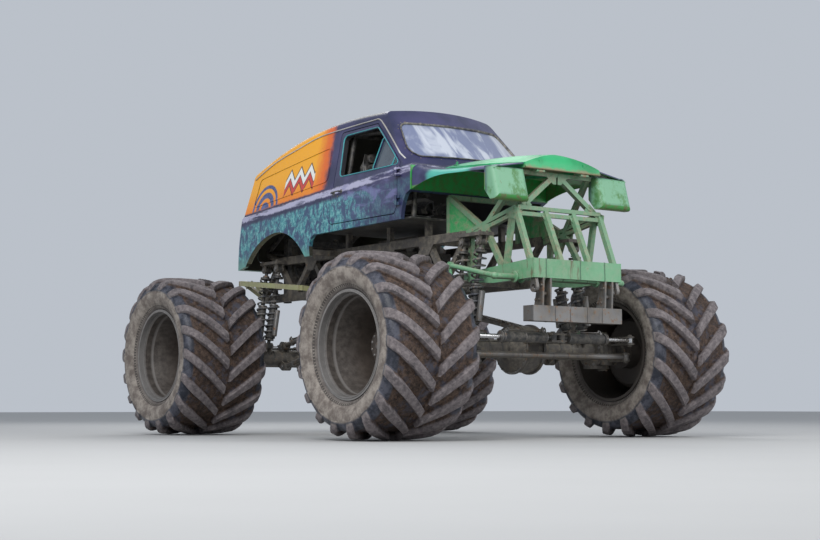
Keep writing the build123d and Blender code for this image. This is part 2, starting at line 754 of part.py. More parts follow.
def nose_pod():
    """Hollow nose piece, open at the back, rounded at its corners and leaning forward at its foot."""
    def solid(inset):
        top, low = POD_TOP_Z - inset, POD_LOW_Z + inset
        rear = POD_REAR_X - inset * 2
        outline = make_face(Polyline(
            (rear, top), (2236 - inset, top), (2312 - inset, low), (2205, low), (rear, low + 90), close=True))
        shape = side_prism(outline, POD_IN_Y + inset, POD_OUT_Y - inset)
        face = shape.faces().sort_by(Axis.X)[-1]
        return fillet(face.edges(), 48 - inset)
    return solid(0) - solid(POD_SHEET)


# Chassis and front truss

def chassis_frame():
    """Two trussed sides, cross members, body posts and link brackets."""
    panels = (
        # x of the lower node, x of the upper node
        (-1980, -1700), (-1400, -1700), (-1400, -1050), (-750, -1050), (-750, -400), (-100, -400),
        (-100, 300), (550, 300), (550, 900), (1150, 900), (1150, 1480),
    )
    side = []
    for rear, z in ((CHASSIS_REAR_X, RAIL_LOW_Z), (-1740, RAIL_HIGH_Z)):
        side.append(square_bar((rear, RAIL_Y, z), (CHASSIS_FRONT_X, RAIL_Y, z), RAIL_WIDE, RAIL_SIZE))
    for low_x, high_x in panels:
        side.append(square_bar((low_x, RAIL_Y, RAIL_LOW_Z), (high_x, RAIL_Y, RAIL_HIGH_Z), BRACE_SIZE))
    cross = []
    for x in (-1400, -750, 550, 1150):
        cross.append(square_bar((x, -RAIL_Y, RAIL_LOW_Z), (x, RAIL_Y, RAIL_LOW_Z), BRACE_SIZE, 60))
    for x in (-1700, -400, 900):
        cross.append(square_bar((x, -RAIL_Y, RAIL_HIGH_Z), (x, RAIL_Y, RAIL_HIGH_Z), BRACE_SIZE, 60))
    for x in (-400, 300, 900):
        side.append(square_bar((x, RAIL_Y, RAIL_HIGH_Z), (x, RAIL_Y, FLOOR_Z), BRACE_SIZE))
    side.append(square_bar((-590, RAIL_Y, RAIL_HIGH_Z), (-590, OUTRIGGER_Y, RAIL_HIGH_Z), BRACE_SIZE))
    side.append(square_bar((-1700, RAIL_Y, RAIL_HIGH_Z), (-1940, RAIL_Y, 1888), BRACE_SIZE))
    for axle_x in (WHEELBASE / 2, -WHEELBASE / 2):
        way = 1 if axle_x > 0 else -1
        for _, (inward, y, z) in LINKS:
            x = axle_x - way * inward
            root = (x - way * 10, RAIL_LOW_Z)
            side.append(ears_y((x, y, z), root, LINK_EYE_R, LUG_PLATE, LINK_EYE_LONG, PIN_R))
        for _, (inward, y, z) in SHOCKS:
            x = axle_x - way * inward
            side.append(ears_y((x, y, z), (x, z + 60), SHOCK_EYE_R, LUG_PLATE, SHOCK_EYE_LONG, PIN_R))
        side.append(block((axle_x - 165, RAIL_Y, 1745), (axle_x + 165, 585, 1775)))
    link_in = LINKS[0][1][0]
    for x in (WHEELBASE / 2 - link_in, -WHEELBASE / 2 + link_in):
        cross.append(square_bar((x, -RAIL_Y, RAIL_LOW_Z), (x, RAIL_Y, RAIL_LOW_Z), 110, 60))
    return joined([both_sides(joined(side))] + cross)


def front_truss():
    """Green truss ahead of the chassis: doubled upper chord, posts, zigzags and the V's up to the bonnet."""
    ux, uy, uz = UPPER_CORNER
    lx, ly, lz = LOWER_CORNER
    rear = CHASSIS_FRONT_X
    chord, post = 34, 44
    side = []
    for lift in (-26, 26):
        root = (rear, RAIL_Y + 15, RAIL_HIGH_Z + lift * 0.7)
        side.append(square_bar(root, (ux, uy, uz + lift), chord + 10, chord))
    lines = (
        # start, end of the side's zigzag, corner post, bonnet stays
        ((1560, 455, RAIL_HIGH_Z), (1560, 455, RAIL_LOW_Z)),
        ((1760, 455, 1820), (1560, 455, RAIL_LOW_Z)),
        ((1760, 455, 1820), (2020, 462, lz)),
        ((ux - 60, uy - 4, uz - 10), (2040, 462, lz)),
        ((ux, uy, uz), (lx - 10, ly, lz)),
        ((1180, 400, 2150), (1720, 455, 1830)),
        ((2140, 380, 2262), (1760, 455, 1830)),
    )
    side.extend(square_bar(a, b, post) for a, b in lines)
    side.append(square_bar((1180, 400, 2150), (1180, 400, RAIL_HIGH_Z), post))
    gusset = make_face(Polyline((1180, 2150), (1180, 1800), (1500, 1800), (1700, 1842), close=True))
    side.append(side_prism(gusset, 412, 420))
    side.append(square_bar((ux - 15, uy - 20, uz), (2150, 20, 2262), post))
    cross = [square_bar((ux, -uy, uz + lift), (ux, uy, uz + lift), chord, chord) for lift in (-26, 26)]
    for y in (-157, 157):
        cross.append(square_bar((ux, y, uz), (lx - 10, y, lz + 60), post))
    cross.append(square_bar((2150, -POD_IN_Y + FIT, NOSE_BAR_Z), (2150, POD_IN_Y - FIT, NOSE_BAR_Z), 36))
    cross.append(square_bar((1180, -400, 2150), (1180, 400, 2150), post))
    return joined([both_sides(joined(side))] + cross)


def front_beam():
    """Lower box-section beam: straight front and two arms back to the chassis."""
    lx, ly, lz = LOWER_CORNER
    front = block((lx - 15, -ly - 22, lz - 80), (lx + 35, ly + 22, lz + 80))
    rear = CHASSIS_FRONT_X + FIT
    outline = make_face(Polyline(
        (rear, lz - 60), (1900, lz - 95), (lx, lz - 80), (lx, lz + 80), (rear, lz + 15), close=True))
    arm = side_prism(outline, ly - 35, ly + 22)
    return joined([front, arm, mirrored(arm)])


def anti_roll_bar():
    """Front anti-roll bar: cross bar, arms back along both sides and drop links down to the axle."""
    corner, arm_end, foot = ROLL_BAR
    side = [
        bar(corner, arm_end, ROLL_BAR_R - 4), Pos(*corner) * Sphere(ROLL_BAR_R + 4),
        end_eye(arm_end, ROLL_EYE_R, ROLL_EYE_LONG), bar(arm_end, foot, 15),
        end_eye(foot, ROLL_EYE_R, ROLL_EYE_LONG),
    ]
    half = joined(side) - end_eye(foot, PIN_R + FIT, ROLL_EYE_LONG + 10)
    x, y, z = corner
    return joined([bar((x, -y, z), (x, y, z), ROLL_BAR_R), both_sides(half)])


def skid_beam():
    """Steel box beam across the nose, hung from the green beam on two pairs of plates."""
    lx, _, lz = LOWER_CORNER
    beam = block((lx - 100, -SKID_Y, SKID_Z - SKID_SIZE / 2), (lx + 30, SKID_Y, SKID_Z + SKID_SIZE / 2))
    plates = []
    for y in (-390, -310, 310, 390):
        outline = make_hull((Pos(lx - 35, SKID_Z) * Circle(58)).edges()
                            + (Pos(lx + 5, lz - 80 - 20 - FIT) * Rectangle(60, 40)).edges())
        plates.append(side_prism(outline, y - 9, y + 9))
    return joined([beam] + plates)


def tow_plates(x, top_z, drop, y):
    """Pair of plates that hang from top_z, bored drop below it for a tow pin."""
    bore = Pos(x, top_z - drop)
    root = Pos(x, top_z - 10) * Rectangle(48, 20)
    outline = make_hull((bore * Circle(TOW_PLATE_R)).edges() + root.edges())
    outline -= bore * Circle(TOW_BORE_R)
    return [side_prism(outline, way * y - TOW_LONG / 2, way * y + TOW_LONG / 2) for way in (-1, 1)]


def tow_eyes_front():
    """Pair of bored plates under the green beam's front."""
    lx, _, lz = LOWER_CORNER
    return tow_plates(lx - 5, lz - 80 - 1.2, TOW_DROP - 1.2, TOW_FRONT_Y)


def tow_eyes_rear():
    return tow_plates(LOOP_REAR_X + 20, LOOP_Z - 25.2, TOW_DROP - 0.2, TOW_REAR_Y)


def rear_loop():
    """Rear push loop: side rails, rear cross bar, stays down to the lower rails."""
    shapes = [square_bar((LOOP_REAR_X, -LOOP_Y - 25, LOOP_Z), (LOOP_REAR_X, LOOP_Y + 25, LOOP_Z), 50)]
    side = [
        square_bar((LOOP_REAR_X, LOOP_Y, LOOP_Z), (-860, 700, 1450), 50),
        square_bar((-860, 700, 1450), (-860, RAIL_Y + 30 + FIT, 1430), 50),
        square_bar((LOOP_REAR_X, 420, LOOP_Z), (CHASSIS_REAR_X - 10, RAIL_Y, RAIL_LOW_Z + 10), 40),
        square_bar((LOOP_REAR_X, 560, LOOP_Z), (CHASSIS_REAR_X - 10, RAIL_Y, RAIL_LOW_Z + 10), 40),
    ]
    return joined(shapes + [both_sides(joined(side))])


def radiator():
    """Dark upright frame at the tail with its core."""
    shapes = [block((-1660, -350, 1470), (-1600, 350, 1990))]
    outer = RAIL_Y - 30 - FIT
    for side in (-1, 1):
        y = side * (outer - 25)
        shapes.append(square_bar((-1630, y, 1350), (-1630, y, 2020), 50, 80))
    shapes.append(block((-1670, -outer, 1990), (-1590, outer, 2020)))
    return joined(shapes)


def engine():
    """Plain block of the engine with its gearbox, low between the chassis sides."""
    sump = block((-330, -260, ENGINE_Z), (330, 260, ENGINE_DECK_Z))
    return joined([sump, block((-330, -130, ENGINE_DECK_Z), (330, 130, 1900))])


def transfer_case():
    return joined([
        block((-160, -150, 1010), (160, 150, 1250)),
        bar((-200, 0, 1080), (200, 0, 1080), 62),
        block((-50, -60, 1250), (50, 60, ENGINE_Z - FIT)),
        bar((0, -160, 1130), (0, 160, 1130), 95),
    ])


def driveshafts():
    shapes = []
    for way in (-1, 1):
        start = (way * (WHEELBASE / 2 - PINION_REACH - 13 - FIT), 0, AXLE_Z)
        end = (way * (213 + FIT), 0, 1080)
        flanges = [end_eye(at, 58, 26, (1, 0, 0)) for at in (start, end)]
        shapes.append(joined([bar(start, end, 42)] + flanges))
    return shapes


def side_box():
    """Tan box on the right lower rail."""
    outer_rail = RAIL_Y + 30 + FIT
    return joined([block((-725, -660, 1150), (-325, -outer_rail, 1290)),
                   block((-700, -outer_rail - 40, 1290), (-350, -outer_rail, 1430))])


# Inside the cab

def seat():
    """Bucket seat: base, raised sides, back with wings."""
    y = SEAT_Y
    top = FLOOR_Z + FLOOR_THICK
    rear = SEAT_REAR_X
    base = block((rear, y - 230, top + 80), (rear + 480, y + 230, top + 200))
    feet = [block((x, y - 200, top), (x + 60, y + 200, top + 80)) for x in (rear + 20, rear + 400)]
    wings = []
    for wing_y in (y - 215, y + 215):
        wings.append(block((rear, wing_y - 25, top + 190), (rear + 440, wing_y + 25, top + 270)))
    back = extrude(Plane(origin=(rear - 10, y, top + 100), x_dir=(0, 1, 0),
                         z_dir=(-0.18, 0, 0.98)) * Rectangle(460, 110), 640)
    return joined([base, back] + feet + wings)


def dashboard():
    front = COWL_X - WALL - FIT
    outline = make_face(Polyline(
        (780, 2290), (front, 2290), (front, 2380), (880, 2395), (790, 2370), close=True))
    return side_prism(fillet(outline.vertices(), 14), -570, 570)


def steering_wheel():
    x, y, z = STEER_WHEEL_AT
    plane = Plane(origin=STEER_WHEEL_AT, x_dir=(0, 1, 0), z_dir=(-0.906, 0, 0.423))
    ring = plane * Torus(165, 15)
    spokes = [plane * (Rot(0, 0, a) * (Pos(80, 0, 0) * Box(165, 26, 8))) for a in (90, 210, 330)]
    column = bar(STEER_WHEEL_AT, (x + 150, y, z - 70), 22)
    return joined([ring, column] + spokes)


def roll_cage():
    """Main hoop, front legs and header, long rear stays and diagonal: tubes coped to each other."""
    floor_top = FLOOR_Z + FLOOR_THICK
    hoop_x = CAGE_HOOP_X
    side = (
        # start, end
        ((hoop_x, 640, floor_top), (hoop_x, 610, 2450)),
        ((hoop_x, 610, 2450), (hoop_x, 530, 2890)),
        ((960, 640, floor_top), (930, 610, 2430)),
        ((930, 610, 2430), (500, 520, 2850)),
        ((500, 520, 2850), (hoop_x, 530, 2890)),
        ((hoop_x, 520, 2880), (-1920, 430, 1900)),
    )
    runs = []
    for start, end in side:
        for way in (1, -1):
            runs.append(((start[0], way * start[1], start[2]), (end[0], way * end[1], end[2])))
    runs += [
        ((hoop_x, -530, 2890), (hoop_x, 530, 2890)),
        ((500, -520, 2850), (500, 520, 2850)),
        ((hoop_x, -625, 2200), (hoop_x, 530, 2880)),
        ((-1920, -760, 1900), (-1920, 760, 1900)),
    ]
    below_floor = block((-600, -800, floor_top - 60), (1200, 800, floor_top + FIT))
    tubes = []
    taken = below_floor
    for start, end in runs:
        whole = joined([bar(start, end, CAGE_R), Pos(*end) * Sphere(CAGE_R)])
        tubes.append((whole - taken).solids().sort_by(SortBy.VOLUME)[-1])
        taken = joined([taken, bar(start, end, CAGE_R + FIT), Pos(*end) * Sphere(CAGE_R + FIT)])
    return tubes


def van_pieces():
    """The body shell and every panel cut out of it, as a dictionary of nodes."""
    cavity = body_block(WALL)
    shell = body_block(0) - cavity
    glass_skin = body_block(16) - body_block(22)
    pieces = {}

    swage = fillet(make_face(Polyline(*SWAGE, close=True)).vertices(), 60)
    swage = swage - offset(swage, -SWAGE_W, kind=Kind.ARC)
    proud = (loft([body_section(row, -SWAGE_PROUD) for row in STATIONS])
             - loft([body_section(row, 0) for row in STATIONS]))
    shell += both_sides(proud & side_prism(swage, 400, 1000))

    door_cut = door_prism()
    open_window, vent_window = window_prism()
    door_panel = (shell & door_prism(-SHUT_GAP)) - open_window - vent_window
    vent = glass_skin & side_prism(offset(rounded_outline(VENT, 14), -FIT), 300, 1000)
    shell = shell - door_cut - mirrored(door_cut)

    opening = front_prism(rounded_outline(SCREEN_OPENING, 85), 350, 1300)
    pane = front_prism(offset(rounded_outline(SCREEN_OPENING, 85), -FIT), 350, 1300)
    pieces["windscreen"] = (screen_tool(16) - screen_tool(8)) & pane
    shell = shell - opening

    rear_cut = rear_prism(rounded_outline(REAR_DOOR, 60))
    rear_panel_cut = rear_prism(offset(rounded_outline(REAR_DOOR, 60), -SHUT_GAP / 2))
    rear_window = rear_prism(rounded_outline(REAR_DOOR_WINDOW, 40))
    rear_panel = (shell & rear_panel_cut) - rear_window
    shell = shell - rear_cut - mirrored(rear_cut)

    fixed = []
    for z in (2120, 2380):
        still, moving = hinge((DOOR_AXIS_X, DOOR_AXIS_Y, z), (0, 0, 1), (1, 0, 0), (-1, 0, 0), 40, (0, 1, 0))
        fixed.append(still)
        door_panel += moving
    for z in (1920, 2450):
        at = rear_face_point(REAR_AXIS_Y, z, REAR_AXIS_OUT)
        still, moving = hinge(at, tuple(REAR_LEAN), (0, 1, 0), (0, -1, 0), 40, tuple(REAR_OUT))
        fixed.append(still)
        rear_panel += moving
    pieces["van_shell"] = joined([shell] + [s for f in fixed for s in (f, mirrored(f))])
    for side_name, side in (("left", 1), ("right", -1)):
        pieces["door_" + side_name] = door_panel if side > 0 else mirrored(door_panel)
        pieces["vent_glass_" + side_name] = vent if side > 0 else mirrored(vent)
        pieces["rear_door_" + side_name] = rear_panel if side > 0 else mirrored(rear_panel)
    pieces["cab_floor"] = block((-470, -740, FLOOR_Z), (1050, 740, FLOOR_Z + FLOOR_THICK)) & cavity
    return pieces


def bonnet_with_hinges():
    x, z = BONNET_AXIS
    panel = bonnet()
    fixed = []
    for y in (-250, 250):
        still, moving = hinge((x, y, z), (0, 1, 0), (-1, 0, 0), (0, 0, 1), BONNET_LEAF, (0, 0, -1))
        fixed.append(still)
        panel += moving
    return panel, fixed


def truck():
    """Every node by name."""
    nodes = {}
    left_tyre = tyre()
    for name, (axle_x, side) in WHEELS.items():
        nodes["tyre_" + name] = Pos(axle_x, 0, 0) * (left_tyre if side > 0 else mirrored(left_tyre))
        nodes["rim_" + name] = placed(rim(), axle_x, side)
        nodes["knuckle_" + name] = placed(knuckle(), axle_x, side)
        nodes["steer_barrel_" + name] = placed(cylinder_barrel(), axle_x, side)
        nodes["steer_rod_" + name] = placed(cylinder_rod(), axle_x, side)
    for name, axle_x in (("front", WHEELBASE / 2), ("rear", -WHEELBASE / 2)):
        nodes["axle_" + name] = placed(axle(), axle_x, 1)
        nodes["tie_rod_" + name] = placed(tie_rod(), axle_x, 1)
        nodes["links_" + name] = [placed(s, axle_x, 1) for s in axle_links()]
        nodes["shocks_" + name] = [placed(s, axle_x, 1) for s in shocks()]
    bar_foot = ROLL_BAR[2]
    ears = ears_y(bar_foot, (WHEELBASE / 2, AXLE_Z), ROLL_EYE_R, 12, ROLL_EYE_LONG, PIN_R)
    nodes["axle_front"] = joined([nodes["axle_front"], both_sides(ears)])
    nodes["anti_roll_bar"] = anti_roll_bar()
    nodes.update(van_pieces())
    bonnet_panel, bonnet_fixed = bonnet_with_hinges()
    nodes["bonnet"] = bonnet_panel
    nodes["wing_left"] = wing()
    nodes["wing_right"] = mirrored(wing())
    shell = nodes["van_shell"]
    chassis = chassis_frame() - shell
    nodes["chassis_frame"] = chassis
    truss = joined([front_truss()] + bonnet_fixed) - chassis
    bar_x, _, bar_z = ROLL_BAR[0]
    beam = front_beam() - bar((bar_x, -LOOP_Y, bar_z), (bar_x, LOOP_Y, bar_z), ROLL_BAR_R + FIT)
    nodes["front_beam"] = beam
    nodes["front_truss"] = truss - beam
    nodes["skid_beam"] = skid_beam()
    nodes["tow_eyes_front"] = tow_eyes_front()
    loop_rear = rear_loop() - chassis
    nodes["rear_loop"] = loop_rear
    nodes["tow_eyes_rear"] = tow_eyes_rear()
    nodes["radiator"] = radiator() - chassis
    nodes["engine"] = engine() - chassis
    nodes["transfer_case"] = transfer_case()
    nodes["driveshafts"] = driveshafts()
    nodes["side_box"] = side_box()
    nodes["seat"] = seat()
    nodes["dashboard"] = dashboard()
    nodes["steering_wheel"] = steering_wheel() - nodes["dashboard"]
    tubes = [tube - chassis - shell for tube in roll_cage()]
    nodes["roll_cage"] = [tube.solids().sort_by(SortBy.VOLUME)[-1] for tube in tubes]
    return nodes


def as_compound(shape):
    """One compound of plain solids, whatever built the node."""
    shapes = shape if isinstance(shape, list) else [shape]
    solids = [solid for item in shapes for solid in item.solids()]
    return Compound(children=solids) if len(solids) > 1 else solids[0]


def main():
    os.makedirs("parts", exist_ok=True)
    for name, shape in truck().items():
        export_step(as_compound(shape), os.path.join("parts", name + ".step"))


if __name__ == "__main__":
    main()
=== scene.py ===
"""Looks of the monster truck: weathered paint, muddy chevron tyres, trim, bolts and springs.

Metres, +X to the front, +Y to the left, +Z up, the origin on the ground under the middle of the wheelbase.
"""
import json
import math
import random
from itertools import product

import bmesh
import bpy
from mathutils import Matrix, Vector
from mathutils.bvhtree import BVHTree


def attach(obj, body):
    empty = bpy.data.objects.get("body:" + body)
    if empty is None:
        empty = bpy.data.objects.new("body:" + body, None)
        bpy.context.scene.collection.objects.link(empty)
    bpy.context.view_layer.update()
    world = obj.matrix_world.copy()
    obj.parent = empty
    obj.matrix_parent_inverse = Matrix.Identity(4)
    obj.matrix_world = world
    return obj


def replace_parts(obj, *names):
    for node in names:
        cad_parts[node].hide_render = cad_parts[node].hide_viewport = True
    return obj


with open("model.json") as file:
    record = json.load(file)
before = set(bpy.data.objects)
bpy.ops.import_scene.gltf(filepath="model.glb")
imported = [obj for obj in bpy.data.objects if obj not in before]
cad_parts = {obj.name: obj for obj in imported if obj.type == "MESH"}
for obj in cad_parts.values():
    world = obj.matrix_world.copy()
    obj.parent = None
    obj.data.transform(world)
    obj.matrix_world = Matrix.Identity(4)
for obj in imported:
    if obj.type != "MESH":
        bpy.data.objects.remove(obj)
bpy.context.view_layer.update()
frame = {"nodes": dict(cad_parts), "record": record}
NODES = frame["nodes"]

# Sizes shared with the solids
AXLE_X = 1.675
AXLE_Z = 0.78
WHEEL_Y = 1.45
LUG_ROWS = 18
LUG_SWEEP = 0.335
LUG_IN_W = 0.088
LUG_OUT_W = 0.104
LUG_START = 0.018
LUG_END = 0.45
TYRE_R = 0.78
FLOOR_R = 0.7095
WHEELS = {
    # name: (way, side)
    "front_right": (1, -1), "front_left": (1, 1), "rear_right": (-1, -1), "rear_left": (-1, 1),
}
BOTH = (1, -1)
SIDES = {"left": 1, "right": -1}
AHEAD = Vector((1, 0, 0))
ACROSS = Vector((0, 1, 0))
UP = Vector((0, 0, 1))


# Materials

class Value:
    """A number or colour that changes over a surface; arithmetic on it makes the nodes."""

    def __init__(self, shader, socket):
        self.shader = shader
        self.socket = socket

    def __add__(self, other):
        return self.shader.math("ADD", self, other)

    def __sub__(self, other):
        return self.shader.math("SUBTRACT", self, other)

    def __rsub__(self, other):
        return self.shader.math("SUBTRACT", other, self)

    def __mul__(self, other):
        return self.shader.math("MULTIPLY", self, other)

    def __or__(self, other):
        return self.shader.math("MAXIMUM", self, other)

    def __abs__(self):
        return self.shader.math("ABSOLUTE", self)

    def hypot(self, other):
        return self.shader.math("SQRT", self * self + other * other)

    def clamped(self):
        self.socket.node.use_clamp = True
        return self

    def span(self, low, high):
        """0 below low, 1 above high, smooth between; low may be the higher."""
        falls = low > high
        made = self.shader.node("ShaderNodeMapRange", Value=self, From_Min=min(low, high),
                                From_Max=max(low, high), To_Min=float(falls), To_Max=float(not falls))
        made.interpolation_type = "SMOOTHSTEP"
        return Value(self.shader, made.outputs[0])

    def band(self, low, high, soft):
        """1 between low and high."""
        return self.span(low - soft, low + soft) * self.span(high + soft, high - soft)

    def mix(self, one, two):
        """Goes from one colour to another as this goes from 0 to 1."""
        made = self.shader.node("ShaderNodeMix")
        made.data_type = "RGBA"
        for socket, value in ((0, self), (6, one), (7, two)):
            self.shader.feed(made.inputs[socket], value)
        return Value(self.shader, made.outputs[2])


class Shader:
    """A Principled material with short calls for the nodes that the paints use."""

    def __init__(self, name, rough, metal=0.0, specular=0.5, coat=0.0):
        self.mat = bpy.data.materials.new(name)
        self.mat.use_nodes = True
        self.tree = self.mat.node_tree
        self.set(Roughness=rough, Metallic=metal, Specular_IOR_Level=specular, Coat_Weight=coat,
                 Coat_Roughness=0.25)
        here = self.node("ShaderNodeTexCoord").outputs
        self.place, self.normal = Value(self, here["Object"]), Value(self, here["Normal"])
        self.x, self.y, self.z = self.parts(self.place)
        _, self.sideways, self.up = self.parts(self.normal)
        self.colour = None

    def node(self, kind, **inputs):
        made = self.tree.nodes.new(kind)
        for key, value in inputs.items():
            self.feed(made.inputs[key.replace("_", " ")], value)
        return made

    def set(self, **inputs):
        """Sets or links inputs of the surface shader."""
        for key, value in inputs.items():
            self.feed(self.tree.nodes["Principled BSDF"].inputs[key.replace("_", " ")], value)

    def feed(self, socket, value):
        if isinstance(value, Value):
            self.tree.links.new(value.socket, socket)
        else:
            socket.default_value = (*value, 1.0) if socket.type == "RGBA" else value

    def made(self, kind, **inputs):
        return Value(self, self.node(kind, **inputs).outputs[0])

    def parts(self, vector):
        return [Value(self, part) for part in self.node("ShaderNodeSeparateXYZ", Vector=vector).outputs]

    def math(self, operation, *values, kind="ShaderNodeMath", output=0):
        made = self.node(kind)
        made.operation = operation
        for socket, value in zip(made.inputs, values):
            self.feed(socket, value)
        return Value(self, made.outputs[output])

    def noise(self, scale, detail=5.0, rough=0.6, stretch=None, warp=0.0):
        place = self.made("ShaderNodeMapping", Vector=self.place, Scale=stretch) if stretch else self.place
        return self.made("ShaderNodeTexNoise", Vector=place, Scale=scale, Detail=detail, Roughness=rough,
                         Distortion=warp)

    def faces_in(self, centre):
        """1 where the surface looks toward a centre, as the inside of a shell does."""
        away = self.math("SUBTRACT", self.place, centre, kind="ShaderNodeVectorMath")
        facing = self.math("DOT_PRODUCT", away, self.normal, kind="ShaderNodeVectorMath", output=1)
        return facing.span(0.02, -0.02)

    def lay(self, mask, colour):
        """Paints over what is there, where mask is 1."""
        self.colour = mask.mix(self.colour, colour)

    def see_through(self, alpha):
        self.set(Alpha=alpha)
        self.mat.blend_method = "BLEND"

    def finish(self, rough, *bumps):
        """Joins colour, roughness and the bumps (height, strength, distance)."""
        relief = {}
        for height, strength, distance in bumps:
            bump = self.made("ShaderNodeBump", Height=height, Strength=strength, Distance=distance, **relief)
            relief = {"Normal": bump}
        self.set(Base_Color=self.colour, Roughness=rough, **relief)
        return self.mat


def weathered(name, paint, dark, dust=(0.42, 0.38, 0.31), dusty=0.35, rusty=0.58, rough=0.5, metal=0.0,
              seams=None, settled=0.0, runs_and_underside_shade=0.0, patch=None):
    """Aged paint or steel: patches of a darker tone, dust, rust freckles, chips and scratches.

    seams is (places along Y, half width) of dark weld lines across the piece; settled is how much dust lies
    on what faces up; runs_and_underside_shade is how strong the brown runs and the painted shade, in
    grime-like patches on downward faces, are; patch repaints a place.
    """
    s = Shader(name, rough, metal)
    broad, fine, grit = s.noise(2.3, 3), s.noise(19, 6, 0.7), s.noise(90, 3, 0.8)
    s.colour = broad.span(0.35, 0.7).mix(paint, dark)
    if patch:
        patch(s)
    s.lay((fine + broad * 0.5).span(0.62, 1.0) * dusty, dust)
    if runs_and_underside_shade:
        run = s.noise(26, 4, 0.65, (1, 1, 0.14), 0.3).span(0.55, 0.66)
        side = abs(s.up).span(0.8, 0.4) * broad.span(0.42, 0.6)
        s.lay(run * side * runs_and_underside_shade, (0.115, 0.085, 0.045))
        # painted shade: downward faces are darkened, in grime-like patches
        below = s.up.span(-0.35, -0.85) * fine.span(0.2, 0.5)
        s.lay(below * runs_and_underside_shade, (0.07, 0.058, 0.04))
    if settled:
        lying = s.up.span(0.35, 0.8) * fine.span(0.22, 0.55)
        s.lay(lying * settled, dust)
    if seams:
        places, half = seams
        wander = (s.noise(14, 3) - 0.5) * 0.02
        marks = 0.0
        for at in places:
            marks = (s.y + wander).band(at - half, at + half, half * 0.7) | marks
        s.lay(marks * 0.75, tuple(c * 0.25 for c in paint))
    stain = (fine + (grit - 0.5) * 0.35).span(rusty, rusty + 0.09)
    s.lay(stain * 0.85, (0.2, 0.085, 0.03))
    s.lay(grit.span(0.69, 0.74) * 0.6, (0.09, 0.07, 0.05))
    return s.finish((fine * 0.35 + (rough - 0.15)).clamped(), (fine, 0.25, 0.003), (grit, 0.3, 0.0012))


def tyre_material():
    """Dusty lug tops and sidewalls, slate rubber and brown mud between the lugs, painted shade in the
    shoulder pockets and by the bead.
    """
    s = Shader("tyre_rubber", 0.8, specular=0.35)
    radius = (abs(s.x) - AXLE_X).hypot(s.z - AXLE_Z)
    out = abs(abs(s.y) - WHEEL_Y)
    broad, fine = s.noise(3.1, 4), s.noise(26, 7, 0.72)
    grit, blot = s.noise(120, 4, 0.8), s.noise(11, 6, 0.7)
    s.colour = fine.span(0.3, 0.7).mix((0.092, 0.078, 0.082), (0.232, 0.203, 0.203))
    s.lay(blot.span(0.52, 0.64) * 0.65, (0.056, 0.05, 0.054))
    # floor of the tread; the lugs' ends stand clear of it and of the pockets between them
    slate = fine.mix((0.028, 0.03, 0.04), (0.105, 0.1, 0.125))
    mud = (fine + (grit - 0.5) * 0.5).span(0.35, 0.68).mix((0.03, 0.02, 0.016), (0.118, 0.078, 0.058))
    mud = (s.noise(60, 4, 0.75).span(0.6, 0.68) * 0.8).mix(mud, (0.17, 0.082, 0.045))
    floor = (blot + broad * 0.45).span(0.56, 0.74).mix(slate, mud)
    on_floor = 1.0 - (radius + out * 1.5).span(1.312, 1.328) * out.span(0.365, 0.38)
    s.lay(radius.span(0.745, 0.72) * radius.span(0.655, 0.69) * on_floor, floor)
    # sidewall, with a band of painted shade next to the bead and painted shade in the gaps between the ribs
    # by the bead, which stand proud of the slanted wall
    wall = blot.span(0.35, 0.66).mix((0.135, 0.112, 0.098), (0.315, 0.28, 0.245))
    wall = (radius.band(0.44, 0.478, 0.008) * 0.55).mix(wall, (0.06, 0.055, 0.052))
    slant = (radius - 0.474) * 0.611 + 0.39
    painted_rib_gap_shade = (out - slant).span(0.0022, 0.001) * radius.band(0.477, 0.497, 0.002)
    wall = (painted_rib_gap_shade * 0.8).mix(wall, (0.04, 0.036, 0.034))
    s.lay(radius.span(0.675, 0.635) * out.span(0.33, 0.4) * fine.span(0.12, 0.45), wall)
    # painted shade in the shoulder pockets between the lugs
    pocket = radius.band(0.636, 0.712, 0.012) * out.span(0.352, 0.372) * on_floor
    shade = blot.span(0.4, 0.62).mix((0.02, 0.023, 0.033), (0.075, 0.078, 0.1))
    s.lay(pocket * fine.span(0.8, 0.6), shade)
    return s.finish((fine * 0.5 + 0.55 - pocket * 0.4).clamped(), (fine, 0.5, 0.006), (grit, 0.4, 0.002))


def rim_material():
    """Dusty grey lip ring, grey-brown barrel and painted brown shade in the deep middle."""
    s = Shader("rim_paint", 0.55, 0.15)
    fine, grit = s.noise(17, 6, 0.7), s.noise(85, 4, 0.8)
    out = abs(s.y) - WHEEL_Y
    s.colour = fine.span(0.3, 0.7).mix((0.05, 0.042, 0.037), (0.118, 0.102, 0.09))
    s.lay(out.span(0.315, 0.335), fine.mix((0.13, 0.122, 0.116), (0.275, 0.262, 0.252)))
    s.lay(out.band(0.235, 0.262, 0.006) * 0.7, (0.225, 0.21, 0.198))
    # painted shade, darker toward the deep middle of the wheel
    s.lay(out.span(0.18, -0.03) * 0.85, fine.mix((0.03, 0.024, 0.02), (0.085, 0.062, 0.047)))
    s.lay(out.span(-0.06, -0.14) * 0.8, (0.06, 0.052, 0.046))
    s.lay(grit.span(0.6, 0.68) * 0.55, (0.12, 0.075, 0.045))
    return s.finish(fine * 0.35 + 0.38, (fine, 0.2, 0.003), (grit, 0.25, 0.001))


BELT_AT_COWL = 2.435
BELT_RISE = 0.0577
ZIGZAG = 0.19
# Weld lines along Y on the mint and the steel beam, in the paint and as beads
BEAM_WELDS = (-0.36, 0.02, 0.3)
SKID_WELDS = (-0.26, -0.09, 0.1, 0.27)


def above_belt(s):
    """Height above the sloping belt line."""
    return s.z - (s.x - 1.135) * BELT_RISE - BELT_AT_COWL


